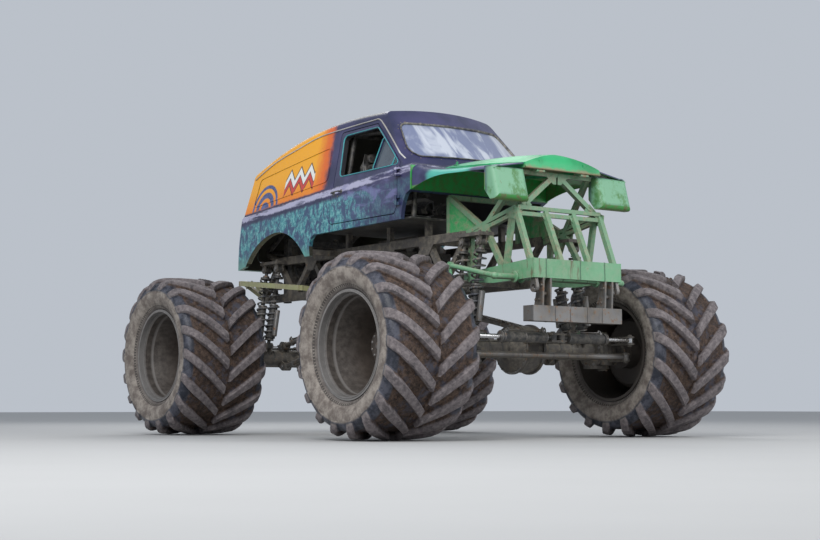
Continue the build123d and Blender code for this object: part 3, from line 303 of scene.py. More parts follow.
def body_colours(s, height, fine, broad):
    """Navy upper and belt, pale lilac painted highlight along the belt ledge, turquoise mottling on the
    lower side.
    """
    navy = broad.span(0.35, 0.65).mix((0.014, 0.017, 0.06), (0.045, 0.042, 0.12))
    turquoise = s.noise(31, 5, 0.7).span(0.4, 0.62).mix((0.028, 0.215, 0.26), (0.175, 0.445, 0.45))
    s.colour = s.noise(12, 7, 0.7, (1.3, 1, 0.8), 0.5).span(0.43, 0.57).mix((0.034, 0.07, 0.15), turquoise)
    s.lay((s.z + fine * 0.12).span(1.93, 1.76) * 0.75, (0.16, 0.42, 0.33))
    s.lay(s.x.span(0.0, 0.75) * 0.8, navy)
    s.lay((height + (fine - 0.5) * 0.05).span(-0.135, -0.095), navy)
    # painted highlight: a pale lilac line along the belt ledge
    painted_belt_highlight = (height + (s.noise(16, 5, 0.7) - 0.5) * 0.05).band(-0.07, -0.012, 0.01)
    s.lay(painted_belt_highlight * s.noise(5, 4, 0.7, (0.4, 1, 2.4)).span(0.36, 0.5) * 0.85, (0.5, 0.49, 0.66))
    return navy


def van_material():
    """Navy and turquoise body, yellow panel with a zigzag and half rings, chalky roof, dark inside."""
    s = Shader("van_paint", 0.35, coat=0.15)
    height, fine, broad = above_belt(s), s.noise(21, 6, 0.7), s.noise(2.1, 3)
    navy = body_colours(s, height, fine, broad)
    # yellow panel, orange at its foot and toward the door
    wobble = (fine - 0.5) * 0.04
    panel = (height + wobble).span(0.005, 0.03) * (s.x + wobble).span(-0.215, -0.245)
    yellow = (height + broad * 0.25).span(0.06, 0.42).mix((0.8, 0.2, 0.004), (0.9, 0.4, 0.006))
    toward_door = s.x + (s.noise(12, 5, 0.7) - 0.5) * 0.14
    yellow = toward_door.span(-0.62, -0.4).mix(yellow, (0.72, 0.13, 0.006))
    s.lay(panel, toward_door.span(-0.4, -0.29).mix(yellow, navy))
    # zigzag band at the panel's front half: near-black edges, red, white
    ride = height - s.math("PINGPONG", s.x + 4.0, ZIGZAG / 2) * 1.25 - 0.13
    run = s.x.band(-1.14, -0.57, 0.006) * panel
    for low, high, colour in ((-0.075, 0.105, (0.035, 0.012, 0.02)), (-0.06, 0.0, (0.56, 0.045, 0.03)),
                              (0.012, 0.085, (0.8, 0.8, 0.76))):
        s.lay(run * ride.band(low, high, 0.004), colour)
    # half rings rising from the belt at the panel's rear half
    away = (s.x + 1.5).hypot(height)
    rings = away.band(0.0, 0.085, 0.004) | (away.band(0.125, 0.185, 0.004) | away.band(0.225, 0.262, 0.004))
    s.lay(rings * panel, fine.span(0.4, 0.6).mix((0.045, 0.06, 0.17), (0.1, 0.13, 0.3)))
    # chalky roof, also over its rear crest
    cap = (s.up + (fine - 0.5) * 0.25).span(0.55, 0.78)
    cap = cap * (height.span(0.02, 0.2) * (s.x + broad * 0.3).span(0.62, 0.5))
    crest = s.x.span(-1.6, -1.66) * (s.z + fine * 0.02).span(2.7, 2.716) * abs(s.sideways).span(0.75, 0.55)
    cap = cap | crest
    chalk = s.noise(1.9, 4, 0.5).span(0.36, 0.64).mix((0.19, 0.184, 0.176), (0.275, 0.267, 0.256))
    s.lay(cap, (fine.span(0.6, 0.74) * 0.5).mix(chalk, (0.11, 0.085, 0.062)))
    # green wall ahead of the cab, below the bonnet
    green = fine.span(0.4, 0.66).mix((0.028, 0.37, 0.075), (0.075, 0.23, 0.055))
    s.lay(s.x.span(1.12, 1.13) * height.span(-0.012, -0.02), green)
    # dark inside of the body, then chips and rust
    s.lay(s.faces_in((-0.45, 0.0, 2.35)), fine.mix((0.022, 0.025, 0.02), (0.075, 0.07, 0.052)))
    s.lay(s.noise(95, 4, 0.8).span(0.66, 0.72) * 0.7, (0.3, 0.25, 0.2))
    s.lay(s.noise(34, 6, 0.75).span(0.66, 0.7) * 0.8, (0.13, 0.055, 0.03))
    return s.finish(fine * 0.35 + 0.22 + cap * 0.32, (fine, 0.1, 0.002), (s.noise(1.4, 2), 0.25, 0.02))


def door_material():
    """The body's colours with violet mottling below the belt and a dark inside."""
    s = Shader("door_paint", 0.35, coat=0.35)
    height, fine = above_belt(s), s.noise(21, 6, 0.7)
    body_colours(s, height, fine, s.noise(3.0, 3))
    violet = s.noise(4.2, 4, 0.6, (0.7, 1, 1.8), 0.8).span(0.52, 0.66)
    s.lay(violet * (height.band(-0.3, -0.02, 0.06) * 0.7), (0.17, 0.17, 0.36))
    s.lay(s.noise(95, 4, 0.8).span(0.66, 0.72) * 0.6, (0.3, 0.27, 0.26))
    s.lay(s.faces_in((0.35, 0.0, 2.4)), fine.mix((0.02, 0.022, 0.03), (0.06, 0.058, 0.06)))
    return s.finish(fine * 0.35 + 0.22, (fine, 0.1, 0.002), (s.noise(1.6, 2), 0.25, 0.018))


def wing_material():
    """Navy at the cowl, turquoise, navy at the pod's corner, mint pod with a grimy patch, green inside."""
    s = Shader("wing_paint", 0.4, coat=0.1)
    fine, broad, grit = s.noise(20, 6, 0.7), s.noise(2.6, 3), s.noise(90, 4, 0.8)
    along = s.x + (broad - 0.5) * 0.3
    s.colour = broad.span(0.4, 0.6).mix((0.02, 0.024, 0.075), (0.055, 0.055, 0.14))
    s.lay(along.span(1.3, 1.42) * along.span(1.98, 1.84), (0.07, 0.4, 0.32))
    grime = s.noise(5.5, 6, 0.72, (1, 1.5, 0.8)) + (fine - 0.5) * 0.25
    mint = grime.span(0.49, 0.62).mix((0.175, 0.385, 0.235), (0.075, 0.215, 0.07))
    s.lay(s.x.span(2.12, 2.19) * s.z.span(2.292, 2.262), mint)
    inside = s.up.span(-0.15, -0.35) | (s.x.span(2.15, 2.13) * s.z.span(2.24, 2.22))
    inside = inside | (s.faces_in((1.6, 0.0, 2.12)) * s.x.span(2.12, 2.08))
    s.lay(inside, fine.span(0.42, 0.6).mix((0.05, 0.3, 0.06), (0.135, 0.19, 0.07)))
    s.lay((fine + grit * 0.3).span(0.8, 0.86) * 0.9, (0.17, 0.065, 0.025))
    s.lay((s.z + fine * 0.06).span(2.04, 2.02) * 0.65, (0.16, 0.085, 0.04))
    return s.finish(fine * 0.3 + 0.4, (fine, 0.15, 0.002))


def bonnet_material():
    """Green with paler hind part, rusty front edge and dull underside."""
    s = Shader("bonnet_paint", 0.35, coat=0.1)
    fine, broad, grit = s.noise(20, 6, 0.7), s.noise(2.4, 3), s.noise(90, 4, 0.8)
    s.colour = broad.span(0.35, 0.65).mix((0.006, 0.24, 0.075), (0.022, 0.4, 0.145))
    s.lay(s.x.span(1.75, 1.2) * broad.span(0.4, 0.6) * 0.5, (0.18, 0.46, 0.36))
    s.lay(s.up.span(-0.1, -0.4), (0.16, 0.17, 0.08))
    front = s.x.span(2.2, 2.25) * (s.z + s.noise(11, 4) * 0.09).span(2.372, 2.33)
    s.lay(front * 0.85, (0.28, 0.205, 0.125))
    s.lay((fine + grit * 0.3).span(0.8, 0.86) * 0.85, (0.17, 0.065, 0.025))
    return s.finish(fine * 0.3 + 0.36, (fine, 0.1, 0.002), (s.noise(2.2, 2), 0.3, 0.02))


def screen_material():
    """Hazy windscreen with painted pale reflections in soft upright streaks."""
    s = Shader("windscreen_glass", 0.12, specular=0.8)
    painted_reflection_streak = s.noise(3.2, 4, 0.6, (0.6, 1.7, 0.22), 0.7)
    # painted reflections: pale streaks over the blue glass
    s.colour = painted_reflection_streak.span(0.42, 0.6).mix((0.2, 0.23, 0.36), (0.58, 0.61, 0.69))
    s.see_through(0.86)
    return s.finish(s.noise(14, 5, 0.7) * 0.22 + 0.06)


def dark_glass_material():
    s = Shader("vent_glass", 0.08, specular=0.8)
    haze = s.noise(9, 5, 0.7)
    s.colour = haze.mix((0.03, 0.045, 0.065), (0.12, 0.15, 0.18))
    s.see_through(0.9)
    return s.finish(haze * 0.2 + 0.05)


def bright_gusset(s):
    """The large side plates by the cab keep a brighter green than the tubes."""
    plate = abs(s.y).span(0.4215, 0.4205) * abs(s.y).span(0.4105, 0.4115)
    plate = plate * (s.x.span(1.72, 1.7) * s.z.span(1.8, 1.802))
    s.lay(plate, s.noise(12, 5, 0.7).mix((0.022, 0.3, 0.07), (0.07, 0.4, 0.15)))


PAINTS = {
    "tyre": tyre_material(),
    "rim_paint": rim_material(),
    "van_yellow": van_material(),
    "door_navy": door_material(),
    "bonnet_green": bonnet_material(),
    "wing_teal": wing_material(),
    "clear_glass": screen_material(),
    "dark_glass": dark_glass_material(),
}
for slot, name, paint, dark, options in (
    # slot, or a trim paint of its own; material; paint; darker paint; options
    ("truss_green", "truss_paint", (0.158, 0.305, 0.18), (0.09, 0.24, 0.115),
     dict(dust=(0.34, 0.32, 0.22), dusty=0.85, rusty=0.61, settled=0.85, runs_and_underside_shade=0.7, patch=bright_gusset)),
    ("beam_mint", "beam_paint", (0.165, 0.385, 0.215), (0.105, 0.305, 0.15),
     dict(dusty=0.3, rusty=0.65, rough=0.42, seams=(BEAM_WELDS, 0.007), settled=0.35, runs_and_underside_shade=0.8)),
    ("loop_cream", "loop_paint", (0.36, 0.38, 0.17), (0.27, 0.27, 0.13),
     dict(dust=(0.4, 0.35, 0.26), dusty=0.7, rusty=0.6, settled=0.4, runs_and_underside_shade=0.6)),
    ("dirty_steel", "", (0.115, 0.105, 0.095), (0.055, 0.05, 0.046),
     dict(dust=(0.255, 0.225, 0.18), dusty=0.9, rusty=0.62, rough=0.65, metal=0.25, settled=0.6)),
    ("worn_steel", "", (0.205, 0.2, 0.196), (0.088, 0.084, 0.082),
     dict(dust=(0.215, 0.182, 0.145), dusty=0.85, rough=0.42, metal=0.5, settled=0.4, runs_and_underside_shade=0.8,
          seams=(SKID_WELDS, 0.004))),
    ("black_paint", "", (0.03, 0.03, 0.031), (0.016, 0.016, 0.017),
     dict(dust=(0.2, 0.18, 0.15), dusty=0.7, rusty=0.7)),
    ("tan_paint", "", (0.34, 0.28, 0.2), (0.24, 0.19, 0.13), dict(dusty=0.6, rusty=0.64)),
    ("rod_chrome", "", (0.6, 0.6, 0.6), (0.5, 0.5, 0.5),
     dict(dusty=0.25, rusty=0.74, rough=0.25, metal=1.0)),
    ("seat_vinyl", "", (0.035, 0.035, 0.038), (0.022, 0.022, 0.024), dict(dusty=0.3, rusty=0.9)),
    ("dash_plastic", "", (0.03, 0.03, 0.032), (0.022, 0.022, 0.024), dict(dusty=0.4, rusty=0.9)),
    ("wheel_rubber", "", (0.022, 0.022, 0.022), (0.014, 0.014, 0.014), dict(dusty=0.3, rusty=0.9)),
    ("spring_paint", "", (0.075, 0.08, 0.095), (0.04, 0.042, 0.05), dict(dusty=0.7, rusty=0.6)),
    ("pipe_paint", "", (0.06, 0.058, 0.056), (0.03, 0.029, 0.028), dict(dusty=0.6, rusty=0.66)),
    ("header_steel", "", (0.15, 0.11, 0.085), (0.075, 0.05, 0.04),
     dict(dusty=0.4, rusty=0.5, rough=0.55, metal=0.5)),
    ("turquoise_line", "window_line_paint", (0.06, 0.4, 0.42), (0.03, 0.26, 0.3),
     dict(dusty=0.2, rusty=0.7, rough=0.4)),
    ("rail_paint", "", (0.56, 0.55, 0.53), (0.33, 0.32, 0.31), dict(dusty=0.5, rusty=0.62)),
    ("flange_paint", "", (0.235, 0.255, 0.165), (0.15, 0.16, 0.105), dict(dusty=0.6, rusty=0.56)),
    ("seal_rubber", "", (0.04, 0.04, 0.046), (0.022, 0.022, 0.026), dict(dusty=0.6, rusty=0.85)),
    ("dial_paint", "", (0.5, 0.49, 0.45), (0.42, 0.41, 0.37), dict(dusty=0.2, rusty=0.85, rough=0.3)),
    ("seat_sheet", "", (0.3, 0.3, 0.3), (0.2, 0.2, 0.2), dict(dusty=0.5, rusty=0.8, rough=0.4, metal=0.7)),
):
    PAINTS[slot] = weathered(name or slot, paint, dark, **options)
for part in frame["record"]["subparts"]:
    target = NODES[part["node"]]
    target.data.materials.clear()
    target.data.materials.append(PAINTS[part["material_slot"]])


# Shapes

def circle(count, shift=0.0):
    """Cosine and sine at even steps of a full turn."""
    return [(math.cos(t), math.sin(t)) for t in (2 * math.pi * (i + shift) / count for i in range(count))]


def around(x, y, z, radius, count, shift=0.0):
    """Points of a circle about a line along Y."""
    return [(x + radius * c, y, z + radius * s) for c, s in circle(count, shift)]


def box(x0, x1, z0, z1):
    return [(x0, z0), (x1, z0), (x1, z1), (x0, z1)]


def unit_frame(direction):
    """Two directions square to a direction and to each other."""
    way = Vector(direction).normalized()
    one = way.cross(UP if abs(way.z) < 0.9 else AHEAD).normalized()
    return way, one, way.cross(one)


def linked(name, data):
    made = bpy.data.objects.new(name, data)
    bpy.context.collection.objects.link(made)
    return made


class Shape:
    """A mesh that grows from a few kinds of parts and ends as one piece."""

    def __init__(self, name):
        self.name = name
        self.bm = bmesh.new()

    def strip(self, rows, closed_rows=True, closed_ends=False, caps=True):
        """Skin over rows of points; the rows are rings when closed_rows."""
        rings = [[self.bm.verts.new(p) for p in row] for row in rows]
        count = len(rings[0])
        for one, two in zip(rings, rings[1:] + rings[:closed_ends]):
            for i in range(count if closed_rows else count - 1):
                j = (i + 1) % count
                self.bm.faces.new((one[i], one[j], two[j], two[i]))
        if caps and not closed_ends:
            self.bm.faces.new(rings[0])
            self.bm.faces.new(rings[-1])
        return rings

    def rod(self, start, end, radius, sides=16, end_radius=None, chamfer=0.0):
        start, end = Vector(start), Vector(end)
        way, one, two = unit_frame(end - start)
        last = radius if end_radius is None else end_radius
        rows = [(start, radius), (end, last)]
        if chamfer:
            rows = [(start, radius - chamfer), (start + way * chamfer, radius), (end - way * chamfer, last),
                    (end, last - chamfer)]
        self.strip([[at + (one * c + two * s) * r for c, s in circle(sides)] for at, r in rows])

    def bolt(self, at, direction, radius=0.011, height=0.009, washer=True):
        """Hexagon head on its washer."""
        at, way = Vector(at), Vector(direction).normalized()
        if washer:
            self.rod(at, at + way * 0.003, radius * 1.5, 14)
            at = at + way * 0.003
        self.rod(at, at + way * height, radius, 6, chamfer=height * 0.22)

    def pin(self, at, half, radius, height, along=ACROSS):
        """Heads on both ends of a pin, half away from its middle."""
        for face in BOTH:
            self.bolt(Vector(at) + along * (face * half), along * face, radius, height)

    def beam(self, start, end, wide, deep, up=UP, chamfer=0.0):
        """Rectangular bar; deep runs toward up."""
        start, end, up = Vector(start), Vector(end), Vector(up)
        way = (end - start).normalized()
        side = way.cross(up).normalized()
        high = side.cross(way)
        w, d, c = wide / 2, deep / 2, chamfer
        outline = [(w, d), (-w, d), (-w, -d), (w, -d)]
        if c:
            outline = [(w, d - c), (w - c, d), (c - w, d), (-w, d - c),
                       (-w, c - d), (c - w, -d), (w - c, -d), (w, c - d)]
        self.strip([[at + side * p + high * q for p, q in outline] for at in (start, end)])

    def plate(self, points, normal, thick):
        """Flat plate over an outline, thick along its normal, centred."""
        lift = Vector(normal).normalized() * (thick / 2)
        self.strip([[Vector(p) - lift for p in points], [Vector(p) + lift for p in points]])

    def sheet(self, normal, at, outline, thick):
        """Flat plate across X or Y at a place; outline holds its corners in the other two directions."""
        self.plate([(at, p, z) if normal is AHEAD else (p, at, z) for p, z in outline], normal, thick)

    def tube(self, points, radius, sides=10, closed=False, squash=1.0):
        """Round tube along points; squash flattens it along its second direction."""
        points = [Vector(p) for p in points]
        count = len(points)
        rows = []
        normal = None
        for i, at in enumerate(points):
            if closed:
                way = points[(i + 1) % count] - points[i - 1]
            else:
                way = points[min(i + 1, count - 1)] - points[max(i - 1, 0)]
            way.normalize()
            if normal is None:
                normal = unit_frame(way)[1]
            normal = (normal - way * normal.dot(way)).normalized()
            other = way.cross(normal)
            rows.append([at + normal * (c * radius) + other * (s * radius * squash)
                         for c, s in circle(sides)])
        self.strip(rows, closed_ends=closed)

    def weld(self, corners, y, proud, wide):
        """Raised bead around a box beam along Y; corners are its lowest and highest (x, z)."""
        (x0, z0), (x1, z1) = corners
        steps = ((-proud, -wide), (proud, -wide / 2), (proud, wide / 2), (-proud, wide))
        self.strip([[(x, y + shift, z) for x, z in box(x0 - grow, x1 + grow, z0 - grow, z1 + grow)]
                    for grow, shift in steps])

    def placed(self):
        """The mesh as an object of the scene."""
        bmesh.ops.recalc_face_normals(self.bm, faces=self.bm.faces)
        mesh = bpy.data.meshes.new(self.name)
        self.bm.to_mesh(mesh)
        self.bm.free()
        return linked(self.name, mesh)

    def done(self, slot, body="chassis", paint=None, smooth=40):
        """A piece that rides on a body and wears its slot's paint, or a trim paint of its own."""
        piece = self.placed()
        piece.data.materials.append(PAINTS[paint or slot])
        piece.data.shade_smooth()
        piece.data.set_sharp_from_angle(angle=math.radians(smooth))
        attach(piece, body)
        return piece


def smooth_line(points, steps=8, closed=False):
    """Points along a soft curve through the given ones."""
    points = [Vector(p) for p in points]
    ends = points[-1:] + points + points[:2] if closed else points[:1] + points + points[-1:]
    line = []
    for p0, p1, p2, p3 in zip(ends, ends[1:], ends[2:], ends[3:]):
        for t in (k / steps for k in range(steps)):
            line.append(0.5 * (2 * p1 + (p2 - p0) * t + (2 * p0 - 5 * p1 + 4 * p2 - p3) * t * t
                               + (3 * p1 - p0 - 3 * p2 + p3) * t ** 3))
    return line if closed else line + points[-1:]


def rounded(points, radius, out, spacing=0.04):
    """Closed convex outline with rounded corners, moved outward, with points along its sides too."""
    points = [Vector(p) for p in points]
    steps = 6
    arcs = []
    for before, at, after in zip(points[-1:] + points, points, points[1:] + points[:1]):
        ways = [(other - at).normalized() for other in (before, after)]
        half = ways[0].angle(ways[1]) / 2
        centre = at + (ways[0] + ways[1]).normalized() * (radius / math.sin(half))
        first, last = (at + way * (radius / math.tan(half)) - centre for way in ways)
        start, swing = math.atan2(first.y, first.x), first.angle_signed(last)
        arcs.append([centre + Vector((math.cos(a), math.sin(a))) * (radius + out)
                     for a in (start - swing * k / steps for k in range(steps + 1))])
    line = []
    for arc, following in zip(arcs, arcs[1:] + arcs[:1]):
        start, end = arc[-1], following[0]
        more = int((end - start).length / spacing) + 1
        line += arc + [start.lerp(end, k / more) for k in range(1, more)]
    return line


TREES = {}


def hit(node, start, direction):
    """First point of a CAD node's surface along a ray, with its normal."""
    if node not in TREES:
        mesh = NODES[node].data
        TREES[node] = BVHTree.FromPolygons([v.co.copy() for v in mesh.vertices],
                                           [tuple(p.vertices) for p in mesh.polygons])
    return TREES[node].ray_cast(Vector(start), Vector(direction))[:2]


def on_side(node, x, z, side, out=0.0):
    """Point on a node's outer side surface, on the left (1) or right (-1) side."""
    place, _ = hit(node, (x, side * 1.2, z), (0, -side, 0))
    return place + ACROSS * (side * out) if place else None


# Tyres

LUG_TOP = (
    # out, radius of the lug's top; out, radius of its root; how far its root spreads
    (0.018, 0.7795, 0.018, 0.702, 0.007), (0.1, 0.7785, 0.1, 0.702, 0.008),
    (0.19, 0.776, 0.19, 0.702, 0.01), (0.27, 0.773, 0.265, 0.7, 0.013),
    (0.33, 0.769, 0.32, 0.698, 0.018), (0.37, 0.762, 0.355, 0.692, 0.025),
    (0.4, 0.748, 0.38, 0.685, 0.032), (0.422, 0.725, 0.4, 0.673, 0.036),
    (0.438, 0.695, 0.412, 0.657, 0.034), (0.447, 0.662, 0.425, 0.635, 0.026),
    (0.4475, 0.635, 0.432, 0.612, 0.016),
)
CARCASS = (
    # out, radius
    (0.345, 0.4415), (0.352, 0.452), (0.378, 0.462), (0.39, 0.474), (0.412, 0.51), (0.42, 0.516),
    (0.434, 0.552), (0.444, 0.6), (0.44, 0.636), (0.426, 0.668), (0.404, 0.692), (0.372, 0.7045),
    (0.3, 0.709), (0.15, 0.7105),
)
BEAD = ((0.345, 0.4405), (0.0, 0.4405), (-0.345, 0.4405))
CLODS = 150
CLOD_SPANS = (
    # turn about the axle, out from the tread's middle, size, height
    (0, 2 * math.pi), (-0.35, 0.35), (0.018, 0.05), (0.005, 0.016),
)
RIBS = (
    # (out, radius) of both ends; half width; height
    (((0.3905, 0.476), (0.4025, 0.498)), 0.004, 0.0035),
    (((0.421, 0.519), (0.426, 0.536)), 0.0022, 0.0018),
)


def add_lug(tyre, centre, dice, turn, side):
    """One lug, worn at its edges; turn is how far it is swung down from pointing forward."""
    (cx, cy, cz), cos, sin = centre, math.cos(turn), math.sin(turn)
    rows = []
    for out, radius, root_out, root_r, spread in LUG_TOP:
        share = (out - LUG_START) / (LUG_END - LUG_START)
        run = (share - 0.5) * LUG_SWEEP + 0.018 * math.sin(math.pi * share)
        half = (LUG_IN_W + (LUG_OUT_W - LUG_IN_W) * share) / 2 * (1.0 - 0.22 * max(0.0, share - 0.7) / 0.3)
        flank = [(half * 0.35, 1.0), (half - 0.007, 0.99), (half, 0.86), (half + spread * 0.35, 0.35),
                 (half + spread, 0.0)]
        row = []
        for shift, lift in [(-shift, lift) for shift, lift in flank[::-1]] + flank:
            worn = float(lift > 0.5)
            r = root_r + (radius - root_r) * lift - worn * dice.random() * 0.005
            z = run + shift + worn * dice.uniform(-0.003, 0.003)
            x = math.sqrt(r * r - z * z)
            row.append((cx + x * cos + z * sin, cy + side * (root_out + (out - root_out) * lift),
                        cz - x * sin + z * cos))
        rows.append(row)
    tyre.strip(rows, closed_rows=False)


def add_clod(tyre, centre, dice, turn, out, size, height):
    """Low lump of dried mud on the tread's floor."""
    cx, cy, cz = centre
    rows = []
    for reach, lift in ((1.0, -0.003), (0.82, 0.35 * height), (0.5, 0.85 * height)):
        row = []
        for c, s in circle(9):
            far = size * reach * dice.uniform(0.72, 1.12)
            t = turn + far * c / FLOOR_R
            y = out + far * s * 0.8
            r = FLOOR_R + lift - 0.0062 * max(0.0, abs(y) - 0.3) / 0.07
            row.append((cx + r * math.cos(t), cy + y, cz - r * math.sin(t)))
        rows.append(row)
    rings = tyre.strip(rows, caps=False)
    r = FLOOR_R + height
    top = tyre.bm.verts.new((cx + r * math.cos(turn), cy + out, cz - r * math.sin(turn)))
    for one, two in zip(rings[-1], rings[-1][1:] + rings[-1][:1]):
        tyre.bm.faces.new((one, two, top))
    tyre.bm.faces.new(rings[0])


def add_ribs(tyre, centre, side, rows, half, height):
    """Ring of fine radial ribs on a sidewall."""
    for c, s in circle(110):
        along = Vector((-s, 0, -c)) * half
        strip = []
        for out, radius in rows:
            at = Vector(centre) + Vector((c * radius, side * out, -s * radius))
            top = at + ACROSS * (side * height)
            strip.append([at - along * 1.5, top - along, top + along, at + along * 1.5])
        tyre.strip(strip, closed_rows=False)


def tread(name, way, side):
    """Carcass, ribs by the bead and two staggered rows of lugs, standing where the solid's do."""
    tyre = Shape("tread_" + name)
    dice = random.Random("tread_" + name)
    centre = (way * AXLE_X, side * WHEEL_Y, AXLE_Z)
    profile = (*((-out, radius) for out, radius in CARCASS), *CARCASS[::-1], *BEAD)
    tyre.strip([[(centre[0] + radius * c, centre[1] + out, centre[2] - radius * s) for c, s in circle(144)]
                for out, radius in profile], closed_ends=True)
    first = math.pi / 2 - math.asin((LUG_SWEEP / 2 + LUG_IN_W / 2) / TYRE_R)
    for i in range(LUG_ROWS):
        for half, across in ((0.0, side), (0.5, -side)):
            add_lug(tyre, centre, dice, first + (i + half) * 2 * math.pi / LUG_ROWS, across)
    for _ in range(CLODS):
        add_clod(tyre, centre, dice, *[dice.uniform(*span) for span in CLOD_SPANS])
    for face, row in product((-1, 1), RIBS):
        add_ribs(tyre, centre, face, *row)
    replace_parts(tyre.done("tyre", "wheel_" + name, smooth=32), "tyre_" + name)


def wheel_trim(name, way, side):
    """Nuts on the deep dish and hub, and lock rings."""
    cx, cy, cz = way * AXLE_X, side * WHEEL_Y, AXLE_Z
    nuts = Shape("wheel_nuts_" + name)
    for count, radius, out, size in ((20, 0.215, -0.11, 0.017), (10, 0.095, 0.064, 0.012)):
        for at in around(cx, cy + side * out, cz, radius, count, 0.5):
            nuts.bolt(at, (0, side, 0), size, size * 1.1)
    nuts.rod((cx, cy + side * 0.072, cz), (cx, cy + side * 0.086, cz), 0.03, 24, chamfer=0.004)
    nuts.done("worn_steel", "wheel_" + name)
    ring = Shape("lock_ring_" + name)
    for radius, out, thick in ((0.4335, 0.381, 0.0045), (0.4235, 0.331, 0.0035)):
        ring.tube(around(cx, cy + side * out, cz, radius, 96), thick, 8, closed=True)
    ring.done("rim_paint", "wheel_" + name)


# Small parts on the axles and steering

SHOCKS = (
    # lower eye, upper eye (ahead of the axle, y, z)
    ((0.105, 0.64, 0.9), (0.12, 0.53, 1.69)),
    ((-0.105, 0.64, 0.9), (-0.12, 0.53, 1.69)),
)
LINKS = (
    # axle end, chassis end (ahead of the axle, y, z)
    ((-0.07, 0.42, 0.905), (-1.56, 0.3, 1.235)),
    ((-0.095, 0.42, 0.69), (-1.56, 0.3, 1.065)),
)
CYLINDER = ((0.48, 0.045, 0.865), (0.42, 0.92, 0.865))  # eyes of a steering cylinder, in the same way
TIE_END = (0.3, 0.98, 0.72)


def ends(pair, way, side):
    """Both ends of a link or shock absorber at one corner of the truck."""
    return [Vector((way * (AXLE_X + ahead), side * y, z)) for ahead, y, z in pair]


def springs():
    """Coil springs between the seats of the eight shock absorbers, with their collars and reservoirs."""
    coils, collars = Shape("coil_springs"), Shape("shock_collars")
    turns, steps = 9.5, 24
    for way, shock, side in product(BOTH, SHOCKS, BOTH):
        start, end = ends(shock, way, side)
        line, one, two = unit_frame(end - start)
        length = (end - start).length
        points = []
        for i in range(int(turns * steps) + 1):
            a = 2 * math.pi * i / steps
            share = 0.135 + 0.735 * i / (turns * steps)
            points.append(start + line * (share * length) + (one * math.cos(a) + two * math.sin(a)) * 0.053)
        coils.tube(points, 0.009, 8)
        for share, radius, long in ((0.07, 0.047, 0.016), (0.515, 0.0465, 0.02), (0.55, 0.024, 0.014),
                                    (0.912, 0.034, 0.016)):
            at = start + line * (share * length)
            collars.rod(at, at + line * long, radius, 20, chamfer=0.003)
        away = AHEAD * (way * math.copysign(1, shock[0][0]))
        foot = start + line * (0.12 * length) + away * 0.088
        collars.rod(foot, foot + line * 0.27, 0.027, 18, chamfer=0.005)
        for at in (foot + line * 0.03, foot + line * 0.23):
            collars.beam(at, at - away * 0.06, 0.02, 0.02)
    coils.done("black_paint", paint="spring_paint")
    collars.done("worn_steel")


def pin_nuts():
    """Nuts on the pins of links and shock absorbers, bolts and rings on the axles and driveshafts."""
    nuts = Shape("pin_nuts")
    for way in BOTH:
        for side in BOTH:
            for link in LINKS:
                low, high = ends(link, way, side)
                for at in (low, high):
                    nuts.pin(at, 0.0423, 0.022, 0.014)
                for at in (low.lerp(high, 0.075), low.lerp(high, 0.905)):
                    nuts.rod(at, at + (high - low).normalized() * 0.03, 0.033, 6, chamfer=0.003)
            for shock in SHOCKS:
                for at in ends(shock, way, side):
                    nuts.pin(at, 0.0373, 0.021, 0.012)
            nuts.bolt((way * (AXLE_X + 0.48), side * 0.045, 0.9013), UP, 0.021, 0.014)
            # flange at the axle tube's end, ring around the differential
            for at in around(way * AXLE_X, side * 0.82, AXLE_Z, 0.128, 14, 0.5):
                nuts.bolt(at, (0, -side, 0), 0.01, 0.009)
            nuts.rod((way * AXLE_X, side * 0.084, AXLE_Z), (way * AXLE_X, side * 0.11, AXLE_Z), 0.222, 48,
                     chamfer=0.003)
            for at in around(way * AXLE_X, side * 0.11, AXLE_Z, 0.212, 20):
                nuts.bolt(at, (0, side, 0), 0.0085, 0.008, washer=False)
        for c, s in circle(8, 0.5):
            nuts.bolt((way * (AXLE_X - 0.3), 0.077 * c, AXLE_Z + 0.077 * s), (-way, 0, 0), 0.009, 0.008,
                      washer=False)
            nuts.bolt((way * 0.1603, 0.118 * c, 1.13 + 0.085 * s), (way, 0, 0), 0.009, 0.008)
        for y, face in product((0.24, 0.32, 0.4, 0.48), BOTH):
            nuts.bolt((way * (AXLE_X + 0.05), face * y, AXLE_Z - 0.06), (way * 0.05, 0, -0.06), 0.009, 0.008)
    nuts.done("worn_steel")


